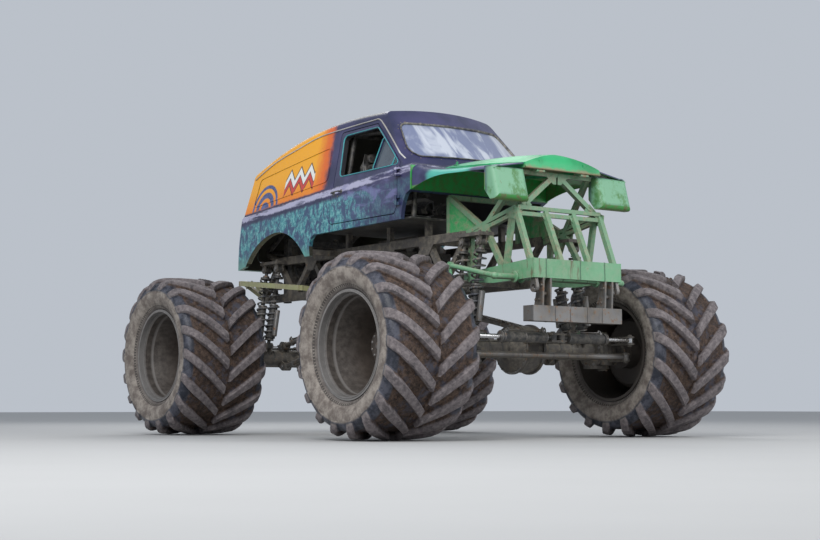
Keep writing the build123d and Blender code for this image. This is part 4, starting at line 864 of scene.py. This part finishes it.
def knuckle_trim(name, way, side):
    """Kingpin caps and nuts of a knuckle; ports, hard pipe and gland rings of its cylinder."""
    caps = Shape("knuckle_caps_" + name)
    for face in BOTH:
        start = Vector((way * AXLE_X, side * 0.98, AXLE_Z + face * 0.1632))
        top = start + UP * (face * 0.009)
        caps.rod(start, top, 0.046, 28, chamfer=0.002)
        for c, s in circle(4, 0.5):
            caps.bolt(top + Vector((c, s, 0)) * 0.031, UP * face, 0.007, 0.006, washer=False)
    for at in ends((CYLINDER[1], TIE_END), way, side):
        caps.pin(at, 0.0367, 0.02, 0.012, UP)
    for a in map(math.radians, (-55, -28, 28, 55, 125, 152, 208, 235)):
        at = (way * AXLE_X + 0.114 * math.cos(a), side * 1.04, AXLE_Z + 0.114 * math.sin(a))
        caps.bolt(at, (0, -side, 0), 0.009, 0.008, washer=False)
    caps.done("dirty_steel", "knuckle_" + name)
    start, end = ends(CYLINDER, way, side)
    line = (end - start).normalized()
    ports = Shape("cylinder_ports_" + name)
    for at in (start + line * 0.105, start + line * 0.49):
        ports.beam(at + UP * 0.04, at + UP * 0.058, 0.03, 0.03, AHEAD, 0.003)
        ports.rod(at + UP * 0.058, at + UP * 0.07, 0.009, 6)
    run = [start + line * reach + UP * high for reach, high in (
        (0.49, 0.068), (0.465, 0.072), (0.44, 0.056), (0.16, 0.053), (0.135, 0.066), (0.105, 0.068))]
    ports.tube(smooth_line(run, 6), 0.0055, 8)
    for reach, radius in ((0.078, 0.0462), (0.3, 0.0462), (0.52, 0.0515), (0.545, 0.0515)):
        at = start + line * reach
        ports.rod(at, at + line * 0.008, radius, 28, chamfer=0.0015)
    ports.done("worn_steel", "steer_barrel_" + name)


def hard_pipes():
    """Steel pipes that are clipped along the upper links and the axle tubes."""
    pipes = Shape("hard_pipes")
    for way, side in product(BOTH, BOTH):
        start, end = ends(LINKS[0], way, side)
        line = (end - start).normalized()
        up = UP - line * line.z
        over = up.normalized()
        for shift, low, high in ((-0.01, 0.1, 0.9), (0.01, 0.13, 0.86)):
            run = [start.lerp(end, t) + over * 0.032 + line.cross(up) * shift for t in (low, 0.4, 0.7, high)]
            tail = run[0] + Vector((way * 0.075, 0, 0.015))
            head = run[-1] + Vector((-way * 0.05, 0, 0.075))
            run = [tail + Vector((way * 0.05, -side * 0.03, -0.06)), tail, *run, head, head + UP * 0.13]
            pipes.tube(smooth_line(run, 6), 0.006, 8)
        for t in (0.2, 0.42, 0.64, 0.84):
            at = start.lerp(end, t)
            pipes.rod(at - line * 0.008, at + line * 0.008, 0.0275, 20)
            at = at + over * 0.024
            pipes.beam(at - line * 0.008, at + line * 0.008, 0.046, 0.026, up)
        # pipe along the axle tube to the shock absorbers' ears
        x, z = way * (AXLE_X + 0.062), AXLE_Z + 0.064
        pipes.tube(smooth_line([(x, side * y, z) for y in (0.2, 0.32, 0.45, 0.575)], 4), 0.0055, 8)
        for y0, y1 in ((side * y, side * (y + 0.014)) for y in (0.26, 0.4, 0.54)):
            pipes.rod((way * AXLE_X, y0, AXLE_Z), (way * AXLE_X, y1, AXLE_Z), 0.0845, 32)
            pipes.beam((x, y0, z), (x, y1, z), 0.024, 0.024, (way, 0, 1))
    pipes.done("dirty_steel", paint="pipe_paint")


# Small parts on the chassis, truss and beams

LOW_NODES = (-1.4, -0.75, -0.1, 0.55, 1.15)
HIGH_NODES = (-1.7, -1.05, -0.4, 0.3, 0.9)
BEAM = ((2.39, 1.345), (2.44, 1.505))
SKID = ((2.305, 0.985), (2.435, 1.115))


def chassis_plates():
    """Gussets at the nodes of the trussed sides, bolts on shelves and rails."""
    plates = Shape("chassis_gussets")
    for side in BOTH:
        for nodes, foot, top in ((LOW_NODES, 1.437, 1.53), (HIGH_NODES, 1.743, 1.65)):
            for x in nodes:
                outline = [(x - 0.115, foot), (x + 0.115, foot), (x + 0.045, top), (x - 0.045, top)]
                plates.sheet(ACROSS, side * 0.4585, outline, 0.007)
        # bolts through the shock absorbers' shelves and along the lower rail
        for way, dx, y in product(BOTH, (-0.14, 0.14), (0.485, 0.565)):
            plates.pin((way * AXLE_X + dx, side * y, 1.76), 0.015, 0.013, 0.011, UP)
        for x in (-1.86, -1.78, -1.05, 0.22, 0.85):
            plates.bolt((x, side * 0.46, 1.4), (0, side, 0), 0.012, 0.01)
    plates.done("dirty_steel")


def truss_plates():
    """Gusset plates and bolts where the truss's tubes and the bonnet's stays meet."""
    plates = Shape("truss_gussets")
    for side in BOTH:
        for y, outline in (
            (0.4905, ((2.235, 1.945), (2.185, 1.965), (2.075, 1.928), (2.12, 1.865), (2.225, 1.85))),
            (0.479, ((1.69, 1.815), (1.76, 1.842), (1.85, 1.85), (1.835, 1.765), (1.715, 1.75))),
            (0.4795, ((1.535, 1.445), (1.535, 1.56), (1.592, 1.56), (1.665, 1.52), (1.625, 1.43))),
        ):
            plates.sheet(ACROSS, side * y, outline, 0.006)
        for x, outline in (
            (2.19, ((0.44, 1.975), (0.36, 2.04), (0.3, 1.985), (0.33, 1.958), (0.44, 1.958))),
            (2.1715, ((0.12, 2.248), (0.01, 2.248), (0.01, 2.185), (0.045, 2.185))),
        ):
            plates.sheet(AHEAD, x, [(side * y, z) for y, z in outline], 0.006)
        for y, z in ((0.41, 1.985), (0.36, 1.985), (0.36, 2.015)):
            plates.bolt((2.193, side * y, z), AHEAD, 0.008, 0.007)
        for x, z in ((2.1, 1.9), (2.18, 1.9), (2.18, 1.94)):
            plates.bolt((x, side * 0.4935, z), (0, side, 0), 0.008, 0.007)
    for y in (-0.157, 0.157):
        plates.plate([(x, y + dy, z) for x, dy, z in (
            (2.2135, -0.055, 1.9), (2.2135, 0.055, 1.9), (2.224, 0.03, 1.86), (2.224, -0.03, 1.86))],
            (1, 0, 0.2), 0.006)
    plates.done("truss_green")


def beam_trim():
    """Weld beads, anti-roll bar collars and nuts on the mint beam, beads and bolts on the steel one."""
    beads = Shape("beam_welds")
    for y in BEAM_WELDS:
        beads.weld(BEAM, y, 0.0022, 0.0065)
    for side in BOTH:
        beads.weld(BEAM, side * 0.486, 0.0022, 0.0055)
        for y0, y1 in ((0.4925, 0.512), (0.415, 0.4345)):
            beads.rod((2.197, side * y0, 1.362), (2.197, side * y1, 1.362), 0.05, 28, chamfer=0.004)
        for x, z, half in ((1.6, 1.49, 0.0171), (1.64, 0.905, 0.0293)):
            beads.pin((x, side * 0.72, z), half, 0.019, 0.011)
        for x in (1.56, 1.68, 1.8):
            beads.bolt((x, side * 0.4922, 1.395), (0, side, 0), 0.012, 0.01)
    beads.done("beam_mint")
    steel = Shape("skid_trim")
    for y in SKID_WELDS:
        steel.weld(SKID, y, 0.002, 0.0055)
    for side in BOTH:
        for y, way in ((0.3007, -1), (0.3993, 1)):
            for x, z in ((2.395, 1.285), (2.425, 1.285), (2.395, 1.165), (2.35, 1.165)):
                steel.bolt((x, side * y, z), (0, side * way, 0), 0.01, 0.009)
        steel.rod((2.385, side * 0.318, 1.215), (2.385, side * 0.382, 1.215), 0.019, 18)
        steel.sheet(ACROSS, side * 0.5015, box(2.31, 2.43, 0.99, 1.11), 0.005)
    steel.done("worn_steel")


def radiator_trim():
    """Slats of the core on both faces, tank seams, cap and two fans."""
    core = Shape("radiator_core")
    for x in (-1.6615, -1.5985):
        for y in (-0.336 + 0.672 * i / 55 for i in range(56)):
            core.beam((x, y, 1.52), (x, y, 1.945), 0.0035, 0.006, AHEAD)
        for z in (1.515, 1.62, 1.73, 1.84, 1.95):
            core.beam((x, -0.345, z), (x, 0.345, z), 0.007, 0.008)
    core.rod((-1.63, 0.22, 2.02), (-1.63, 0.22, 2.048), 0.028, 24, chamfer=0.004)
    core.done("dirty_steel")
    fans = Shape("radiator_fans")
    for y in (-0.172, 0.172):
        hub = Vector((-1.56, y, 1.735))
        ring = [hub + Vector((-0.012, 0.155 * c, 0.155 * s)) for c, s in circle(48)]
        fans.tube(ring, 0.012, 8, closed=True)
        fans.rod(hub - AHEAD * 0.02, hub + AHEAD * 0.025, 0.042, 24, chamfer=0.005)
        for c, s in circle(7):
            along = Vector((0, -s, c))
            rows = []
            for reach, wide, twist in ((0.038, 0.024, 0.7), (0.09, 0.036, 0.5), (0.142, 0.04, 0.35)):
                tilt = (along * math.cos(twist) + AHEAD * math.sin(twist)) * wide
                flat = (AHEAD * math.cos(twist) - along * math.sin(twist)) * 0.002
                at = hub + Vector((0, c, s)) * reach
                rows.append([at - tilt - flat, at + tilt - flat, at + tilt + flat, at - tilt + flat])
            fans.strip(rows)
        for turn in (0.4, 2.5, 4.6):
            spoke = Vector((0, math.cos(turn), math.sin(turn)))
            fans.beam(hub + spoke * 0.03 - AHEAD * 0.015, hub + spoke * 0.155 - AHEAD * 0.012, 0.012, 0.008)
    fans.done("black_paint")


def engine_dress():
    """Valve covers, headers, pulleys and belt on the plain block."""
    covers = Shape("valve_covers")
    for side in BOTH:
        up = Vector((0, side * 0.55, 0.835))
        covers.beam((-0.285, side * 0.186, 1.778), (0.285, side * 0.186, 1.778), 0.105, 0.064, up, 0.012)
        for x in (-0.24 + 0.08 * i for i in range(7)):
            foot = Vector((x, side * 0.186, 1.778)) + up * 0.032
            across = up.cross(AHEAD) * 0.042
            covers.beam(foot - across, foot + across, 0.01, 0.01, up)
        for x in (-0.27, 0.27):
            covers.bolt((x, side * 0.232, 1.748), up, 0.008, 0.007)
    covers.done("worn_steel")
    headers = Shape("exhaust_headers")
    for side in BOTH:
        for i in range(4):
            x = 0.255 - 0.17 * i
            run = [(x, side * 0.258, 1.655), (x - 0.01, side * 0.315, 1.65), (x - 0.06, side * 0.352, 1.615),
                   (x - 0.16, side * 0.358, 1.56 + 0.012 * i)]
            if i < 3:
                run.append((-0.48, side * (0.345 + 0.008 * (i % 2)), 1.53 + 0.016 * (i // 2)))
            headers.tube(smooth_line(run, 6), 0.019, 12)
            headers.sheet(ACROSS, side * 0.2625, box(x - 0.042, x + 0.042, 1.625, 1.685), 0.006)
        run = [(x, side * y, z) for x, y, z in (
            (-0.42, 0.35, 1.54), (-0.6, 0.35, 1.535), (-0.82, 0.345, 1.53), (-1.0, 0.33, 1.525))]
        headers.tube(smooth_line(run, 5), 0.036, 16)
    headers.done("dirty_steel", paint="header_steel")
    front = Shape("engine_front")
    for y, z, radius in ((0.0, 1.53, 0.085), (0.0, 1.7, 0.06), (-0.16, 1.67, 0.042), (0.17, 1.62, 0.048)):
        for x in (0.34, 0.362):
            front.rod((x, y, z), (x + 0.01, y, z), radius, 32, chamfer=0.003)
        front.rod((0.33, y, z), (0.372, y, z), radius * 0.55, 20)
        front.bolt((0.372, y, z), AHEAD, 0.014, 0.01)
    belt = [(0.356, y, z) for y, z in (
        (-0.199, 1.655), (-0.165, 1.712), (-0.01, 1.762), (0.045, 1.742), (0.215, 1.64),
        (0.2, 1.58), (0.06, 1.468), (-0.02, 1.446), (-0.08, 1.5), (-0.165, 1.612))]
    front.tube(smooth_line(belt, 5, closed=True), 0.009, 6, closed=True, squash=0.5)
    front.rod((0.33, -0.16, 1.67), (0.26, -0.16, 1.67), 0.055, 20)
    front.done("black_paint")


def box_trim():
    """Ribs, latches and bolts of the side box."""
    trim = Shape("side_box_trim")
    y = -0.6625
    for z in (1.262, 1.168):
        trim.beam((-0.728, y, z), (-0.322, y, z), 0.008, 0.016, chamfer=0.002)
    for x in (-0.62, -0.43):
        trim.sheet(ACROSS, y - 0.003, box(x - 0.02, x + 0.02, 1.215, 1.285), 0.006)
        trim.rod((x - 0.018, y - 0.01, 1.235), (x + 0.018, y - 0.01, 1.235), 0.005, 12)
    for x, z in product((-0.715, -0.335), (1.17, 1.27)):
        trim.bolt((x, y - 0.002, z), (0, -1, 0), 0.007, 0.006)
    trim.done("tan_paint")


def loop_trim():
    """Gussets and bolts of the rear loop."""
    trim = Shape("loop_welds")
    gusset = ((-2.166, 1.56), (-2.166, 1.52), (-2.12, 1.545), (-2.1, 1.572))
    for side in BOTH:
        for y in (0.42, 0.56):
            trim.sheet(ACROSS, side * y, gusset, 0.008)
        trim.plate([(x, side * y, z) for x, y, z in (
            (-2.164, 0.555, 1.6055), (-2.09, 0.6, 1.5915), (-2.09, 0.64, 1.5915), (-2.19, 0.6, 1.6055))],
            (0.13, 0, 1), 0.005)
        for y in (0.12, 0.3, 0.48):
            trim.bolt((-2.19, side * y, 1.605), UP, 0.009, 0.008)
    trim.done("loop_cream")


# Trim on the body

DOOR_WINDOW = ((-0.077, 2.466), (-0.129, 2.859), (0.417, 2.867), (0.9, 2.466))
VENT = ((0.486, 2.466), (0.553, 2.753), (0.9, 2.466))
SCREEN = ((-0.672, 2.534), (-0.572, 2.884), (0.572, 2.884), (0.672, 2.534))
REAR_WINDOW = ((0.13, 2.329), (0.13, 2.5), (0.43, 2.5), (0.43, 2.329))
REAR_OUT = Vector((-0.983, 0, 0.184))
REAR_SLOPE = 172 / 918
DASH_X = 0.7862
SEAT_Y = -0.33
RAIL = ((-1.815, 2.64), (-1.45, 2.768), (-1.02, 2.856), (-0.6, 2.928), (-0.15, 2.946),
        (0.3, 2.957), (0.41, 2.953), (0.5, 2.893), (0.72, 2.706), (0.95, 2.505))


def door_trim(word, side):
    """Lines around the window and the vent, handle and lock of a cab door."""
    door = "door_" + word
    lines = Shape("window_line_" + word)
    for radius, outline in ((0.0075, rounded(DOOR_WINDOW, 0.045, 0.009)),
                            (0.005, rounded(VENT, 0.014, 0.007, 0.03))):
        points = [on_side(door, x, z, side, 0.001) for x, z in outline]
        lines.tube([p for p in points if p], radius, 8, closed=True, squash=0.7)
    lines.done("door_navy", door, "turquoise_line")
    handle = Shape("door_handle_" + word)
    foot, tip, lock = (on_side(door, x, z, side) for x, z in ((-0.12, 2.3), (0.01, 2.306), (-0.045, 2.262)))
    out = ACROSS * side
    for at in (foot, tip):
        handle.rod(at - out * 0.004, at + out * 0.004, 0.021, 20, chamfer=0.002)
    handle.tube(smooth_line([foot + out * 0.004, foot + out * 0.03, foot.lerp(tip, 0.25) + out * 0.04,
                             foot.lerp(tip, 0.75) + out * 0.042, tip + out * 0.036], 5), 0.0085, squash=0.75)
    handle.rod(tip + out * 0.002, tip + out * 0.036, 0.009, 12)
    handle.rod(lock - out * 0.002, lock + out * 0.004, 0.01, 16, chamfer=0.001)
    handle.done("worn_steel", door)


def shell_trim():
    """Drip rails, the windscreen's seal and its rivets."""
    rails = Shape("drip_rails")
    for side in BOTH:
        line = smooth_line([(x, 0, z) for x, z in RAIL])
        points = [on_side("van_shell", p.x, p.z, side, 0.003) for p in line]
        rails.tube([p for p in points if p], 0.0085, 8, squash=0.75)
    rails.done("van_yellow", paint="rail_paint")
    ring = Shape("windscreen_seal")
    rivets = Shape("windscreen_rivets")
    places = [hit("van_shell", (1.8, y, z), (-1, 0, 0))[0] for y, z in rounded(SCREEN, 0.085, 0.004)]
    ring.tube([p + Vector((0.003, 0, 0.003)) for p in places if p], 0.0105, 8, closed=True, squash=0.7)
    for y, z in rounded(SCREEN, 0.085, 0.024, 0.075)[1::2]:
        place, normal = hit("van_shell", (1.8, y, z), (-1, 0, 0))
        if place and normal.x > 0.2:
            rivets.rod(place, place + normal * 0.003, 0.0065, 10, end_radius=0.0035)
    ring.done("black_paint", paint="seal_rubber")
    rivets.done("worn_steel")


def rear_door_trim(word, side):
    """Frame of the rear window, hinge straps and, on the right door, the handle."""
    rear = Shape("rear_door_trim_" + word)

    def spot(y, z, out=0.0):
        return Vector((-2.03 + (z - 1.7) * REAR_SLOPE, side * y, z)) + REAR_OUT * out

    outline = [spot(y, z, 0.001) for y, z in rounded(REAR_WINDOW, 0.04, 0.01)]
    rear.tube(outline, 0.0075, 8, closed=True, squash=0.7)
    if side < 0:
        rear.rod(spot(0.055, 2.2), spot(0.055, 2.2, 0.03), 0.012)
        rear.tube([spot(0.055, z, out) for z, out in ((2.145, 0.034), (2.175, 0.038), (2.225, 0.038),
                                                      (2.255, 0.034))], 0.0095)
        rear.rod(spot(0.055, 2.2), spot(0.055, 2.2, 0.005), 0.028, 24, chamfer=0.002)
    for z, inner, bolts in ((1.92, 0.33, (0.352, 0.44)), (2.45, 0.449, (0.462, 0.484))):
        rear.plate([spot(y, z + dz, 0.003) for y, dz in (
            (inner, -0.018), (0.5, -0.022), (0.5, 0.022), (inner, 0.018))], REAR_OUT, 0.005)
        for y in bolts:
            rear.bolt(spot(y, z, 0.0055), REAR_OUT, 0.008, 0.006, washer=False)
    rear.done("van_yellow", "rear_door_" + word, "seal_rubber")


def arc_through(first, middle, last, steps):
    """Points on the arc through three points of a plane, the last one left out."""
    (ax, ay), (bx, by), (cx, cy) = first, middle, last
    a, b, c = (p * p + q * q for p, q in (first, middle, last))
    d = 2 * (ax * (by - cy) + bx * (cy - ay) + cx * (ay - by))
    ux = (a * (by - cy) + b * (cy - ay) + c * (ay - by)) / d
    uy = (a * (cx - bx) + b * (ax - cx) + c * (bx - ax)) / d
    start, end = (math.atan2(q - uy, p - ux) for p, q in (first, last))
    radius = math.hypot(ax - ux, ay - uy)
    return [(ux + radius * math.cos(t), uy + radius * math.sin(t))
            for t in (start + (end - start) * k / steps for k in range(steps))]


def arch_flanges():
    """Folded flange along the inner edge of each rear wheel cut."""
    flange = Shape("arch_flanges")
    line = arc_through((-1.851, 1.728), (-1.64, 1.89), (-1.3, 2.012), 14)
    line += arc_through((-1.3, 2.012), (-0.93, 1.972), (-0.637, 1.736), 22) + [(-0.637, 1.736)]
    line = [Vector((x, 0, z)) for x, z in line]
    for side in BOTH:
        rows, roll = [], []
        for before, at, after in zip(line, line[1:], line[2:]):
            way = (after - before).normalized()
            down = Vector((way.z, 0, -way.x))
            edge = on_side("van_shell", at.x - down.x * 0.012, at.z - down.z * 0.012, side)
            if edge is None:
                continue
            rim = Vector((at.x, edge.y, at.z))
            rows.append([rim - ACROSS * (side * deep) + down * off
                         for deep, off in box(0.004, 0.052, 0.0015, -0.003)])
            roll.append(rim - ACROSS * (side * 0.052))
        flange.strip(rows)
        flange.tube(roll, 0.0055, 8)
    flange.done("van_yellow", paint="flange_paint")


def bonnet_trim():
    """Rolled lip along the bonnet's front, pins at its rear corners."""
    lip = Shape("bonnet_lip")
    lip.tube([(2.2585, -0.424 + 0.848 * i / 24, 2.2945) for i in range(25)], 0.0085, 8)
    for side in BOTH:
        place, _ = hit("bonnet", (1.235, side * 0.36, 2.8), (0, 0, -1))
        lip.rod(place - UP * 0.003, place + UP * 0.004, 0.026, 24, chamfer=0.0015)
        lip.rod(place, place + UP * 0.03, 0.0065, 12, chamfer=0.002)
        ring = [place + Vector((0.02 * c, 0, 0.02 + 0.012 * s)) for c, s in circle(16)]
        lip.tube(ring, 0.0016, 6, closed=True)
    lip.done("bonnet_green", "bonnet")


def cab_trim():
    """Gauges, switches, lever, pedals and the steering wheel's hub."""
    dials, faces = Shape("gauges"), Shape("gauge_faces")
    back, rise = Vector((-0.992, 0, 0.124)), Vector((0.124, 0, 0.992))
    level = UP.cross(back)
    for y, radius in ((-0.45, 0.034), (-0.375, 0.042), (-0.285, 0.042), (-0.21, 0.034)):
        at = Vector((DASH_X, y, 2.338))
        ring = [at + back * 0.01 + level * (radius * c) + rise * (radius * s) for c, s in circle(28)]
        dials.rod(at - back * 0.004, at + back * 0.008, radius, 28)
        dials.tube(ring, 0.003, 6, closed=True)
        faces.rod(at + back * 0.008, at + back * 0.0095, radius - 0.003, 28)
        turn = 0.8 + y * 9
        needle = (level * math.cos(turn) + rise * math.sin(turn)) * (radius * 0.75)
        dials.beam(at + back * 0.011, at + back * 0.011 + needle, 0.003, 0.0015, back)
    for i in range(6):
        at = Vector((DASH_X, -0.13 + 0.036 * i, 2.335))
        dials.rod(at, at + back * 0.006, 0.009, 12)
        dials.rod(at + back * 0.006, at + back * 0.022 + UP * 0.006, 0.003, 8)
    dials.tube(smooth_line([(0.42, -0.06, 1.971), (0.425, -0.06, 2.12), (0.4, -0.065, 2.27)], 5), 0.008)
    dials.rod((0.402, -0.065, 2.255), (0.396, -0.066, 2.3), 0.02, chamfer=0.006)
    dials.beam((0.34, -0.06, 1.985), (0.5, -0.06, 1.985), 0.09, 0.028, chamfer=0.006)
    for y in (-0.45, -0.33, -0.22):
        dials.tube(smooth_line([(0.955, y, 2.12), (0.9, y, 2.1), (0.86, y, 2.055)], 4), 0.008, 8)
        dials.beam((0.845, y, 2.075), (0.868, y, 2.03), 0.062, 0.008, (1, 0, 0.5), 0.002)
    hub, way = Vector((0.64, SEAT_Y, 2.4)), Vector((-0.906, 0, 0.423))
    dials.rod(hub - way * 0.006, hub + way * 0.016, 0.034, 24, chamfer=0.004)
    dials.done("dash_plastic")
    faces.done("dash_plastic", paint="dial_paint")


def pad(name, centre, long, across, thick, sizes, channels=()):
    """Stuffed cushion: full in the middle, drawn in at its corners, with sewn channels along it."""
    half_l, half_a, half_t = (s / 2 for s in sizes)
    shape = Shape(name)
    rows = []
    count = 28
    for u in (-0.995 + 1.99 * i / count for i in range(count + 1)):
        full = (1 - abs(u) ** 5) ** (1 / 5)
        row = []
        for c, s in circle(56):
            p, q = (math.copysign(abs(v) ** 0.42, v) for v in (c, s))
            deep = half_t * full * q * (1 - 0.3 * (p * p * 0.5 + u * u * 0.5) * (q > 0))
            if q > 0.6:
                for place, lengthwise in channels:
                    off = (p if lengthwise else u) - place
                    deep -= 0.01 * math.exp(-(off * (half_a if lengthwise else half_l) / 0.007) ** 2)
            drawn = 1 - 0.05 * (p * p) * (u * u)
            row.append(Vector(centre) + long * (u * half_l * drawn) + across * (p * half_a * full * drawn)
                       + thick * deep)
        rows.append(row)
    shape.strip(rows)
    shape.done("seat_vinyl", smooth=60)


def winged(wide, wing, foot, flat):
    """Cross-section of a seat sheet with raised wings at its sides."""
    half = [(flat, 0.0), (foot, 0.012), (wide, wing)]
    return [(-p, q) for p, q in half[::-1]] + half


def race_seat():
    """Sheet seat shell with padded base, back, bolsters and head rest."""
    y = SEAT_Y
    up, fore = Vector((-0.18, 0, 0.98)).normalized(), Vector((0.98, 0, 0.18)).normalized()
    foot = Vector((0.062, y, 2.071)) - fore * 0.045
    shell = Shape("seat_shell")
    rows = []
    for share, wide, wing in ((0.02, 0.215, 0.05), (0.25, 0.222, 0.085), (0.55, 0.228, 0.095),
                              (0.78, 0.215, 0.08), (0.9, 0.165, 0.03), (0.99, 0.135, 0.012)):
        at = foot + up * (0.655 * share)
        section = winged(wide, wing, wide - 0.012, wide * 0.6)
        rows.append([at + ACROSS * p + fore * q for p, q in section]
                    + [at + ACROSS * (p * 0.985) + fore * (q + 0.005) for p, q in section[::-1]])
    shell.strip(rows)
    rows = []
    for x, wing in ((0.078, 0.085), (0.25, 0.095), (0.42, 0.085), (0.548, 0.04)):
        section = winged(0.226, 0.105 + wing, 0.22, 0.16)
        rows.append([(x, y + p, 2.056 + q) for p, q in section]
                    + [(x, y + p * 0.975, 2.061 + q) for p, q in section[::-1]])
    shell.strip(rows)
    for x, side in product((0.122, 0.502), BOTH):
        shell.beam((x, y + side * 0.19, 1.9715), (x, y + side * 0.19, 2.06), 0.045, 0.03, AHEAD, 0.003)
        shell.bolt((x, y + side * 0.165, 1.9715), UP, 0.009, 0.008)
    for side in BOTH:
        shell.beam((0.09, y + side * 0.19, 1.99), (0.535, y + side * 0.19, 1.99), 0.03, 0.03, chamfer=0.003)
    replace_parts(shell.done("seat_vinyl", paint="seat_sheet"), "seat")
    pad("seat_base_pad", (0.325, y, 2.118), AHEAD, ACROSS, UP, (0.44, 0.33, 0.095),
        ((-0.45, True), (0.45, True), (-0.35, False), (0.3, False)))
    for word, side in SIDES.items():
        pad("seat_thigh_pad_" + word, (0.32, y + side * 0.192, 2.15), AHEAD, ACROSS, UP,
            (0.43, 0.058, 0.135))
        pad("seat_side_pad_" + word, foot + up * 0.33 + fore * 0.066 + ACROSS * (side * 0.19),
            up, ACROSS, fore, (0.4, 0.058, 0.1))
    pad("seat_back_pad", foot + up * 0.335 + fore * 0.045, up, -ACROSS, fore, (0.44, 0.325, 0.075),
        ((-0.45, True), (0.45, True), (-0.5, False), (-0.05, False), (0.4, False)))
    pad("seat_head_pad", foot + up * 0.598 + fore * 0.04, up, -ACROSS, fore, (0.1, 0.24, 0.055))


for make in (tread, wheel_trim):
    for name, (way, side) in WHEELS.items():
        make(name, way, side)
springs()
pin_nuts()
for name, (way, side) in WHEELS.items():
    knuckle_trim(name, way, side)
hard_pipes()
chassis_plates()
truss_plates()
beam_trim()
radiator_trim()
engine_dress()
box_trim()
loop_trim()
for word, side in SIDES.items():
    door_trim(word, side)
shell_trim()
for word, side in SIDES.items():
    rear_door_trim(word, side)
arch_flanges()
bonnet_trim()
cab_trim()
race_seat()


# Camera, lights and floor

CAMERA_TURN = math.radians(-36)
CAMERA_AWAY = 15.0
CAMERA_Z = 0.28
AIM = Vector((0.02, 0.0, 1.6))
LAMP_AIM = Vector((0, 0, 1.4))


def studio():
    """Camera at floor level, pale floor, three lamps and a grey-blue world."""
    scene = bpy.context.scene
    camera = linked("camera", bpy.data.cameras.new("camera"))
    camera.location = (CAMERA_AWAY * math.cos(CAMERA_TURN), CAMERA_AWAY * math.sin(CAMERA_TURN), CAMERA_Z)
    camera.rotation_euler = (AIM - camera.location).to_track_quat("-Z", "Y").to_euler()
    camera.data.lens = 68
    camera.data.sensor_width = 36
    scene.camera = camera
    scene.view_settings.view_transform = "Standard"
    ground = Shape("floor")
    bmesh.ops.create_grid(ground.bm, x_segments=2, y_segments=2, size=60)
    floor = ground.placed()
    s = Shader("floor_pale", 0.9)
    s.colour = s.noise(0.8, 3).mix((0.43, 0.43, 0.425), (0.46, 0.46, 0.455))
    floor.data.materials.append(s.finish(0.9))
    for name, place, size, watts in (("key", (7, -9, 9), 8, 1250), ("fill", (11, 5, 6), 7, 480),
                                     ("back", (-8, 4, 9), 7, 400)):
        lamp = linked(name, bpy.data.lights.new(name, "AREA"))
        lamp.data.size = size
        lamp.data.energy = watts
        lamp.location = place
        lamp.rotation_euler = (LAMP_AIM - Vector(place)).to_track_quat("-Z", "Y").to_euler()
    world = bpy.data.worlds.new("studio")
    world.use_nodes = True
    sky = world.node_tree.nodes["Background"].inputs
    sky[0].default_value = (0.8, 0.86, 0.95, 1)
    sky[1].default_value = 0.62
    scene.world = world


studio()
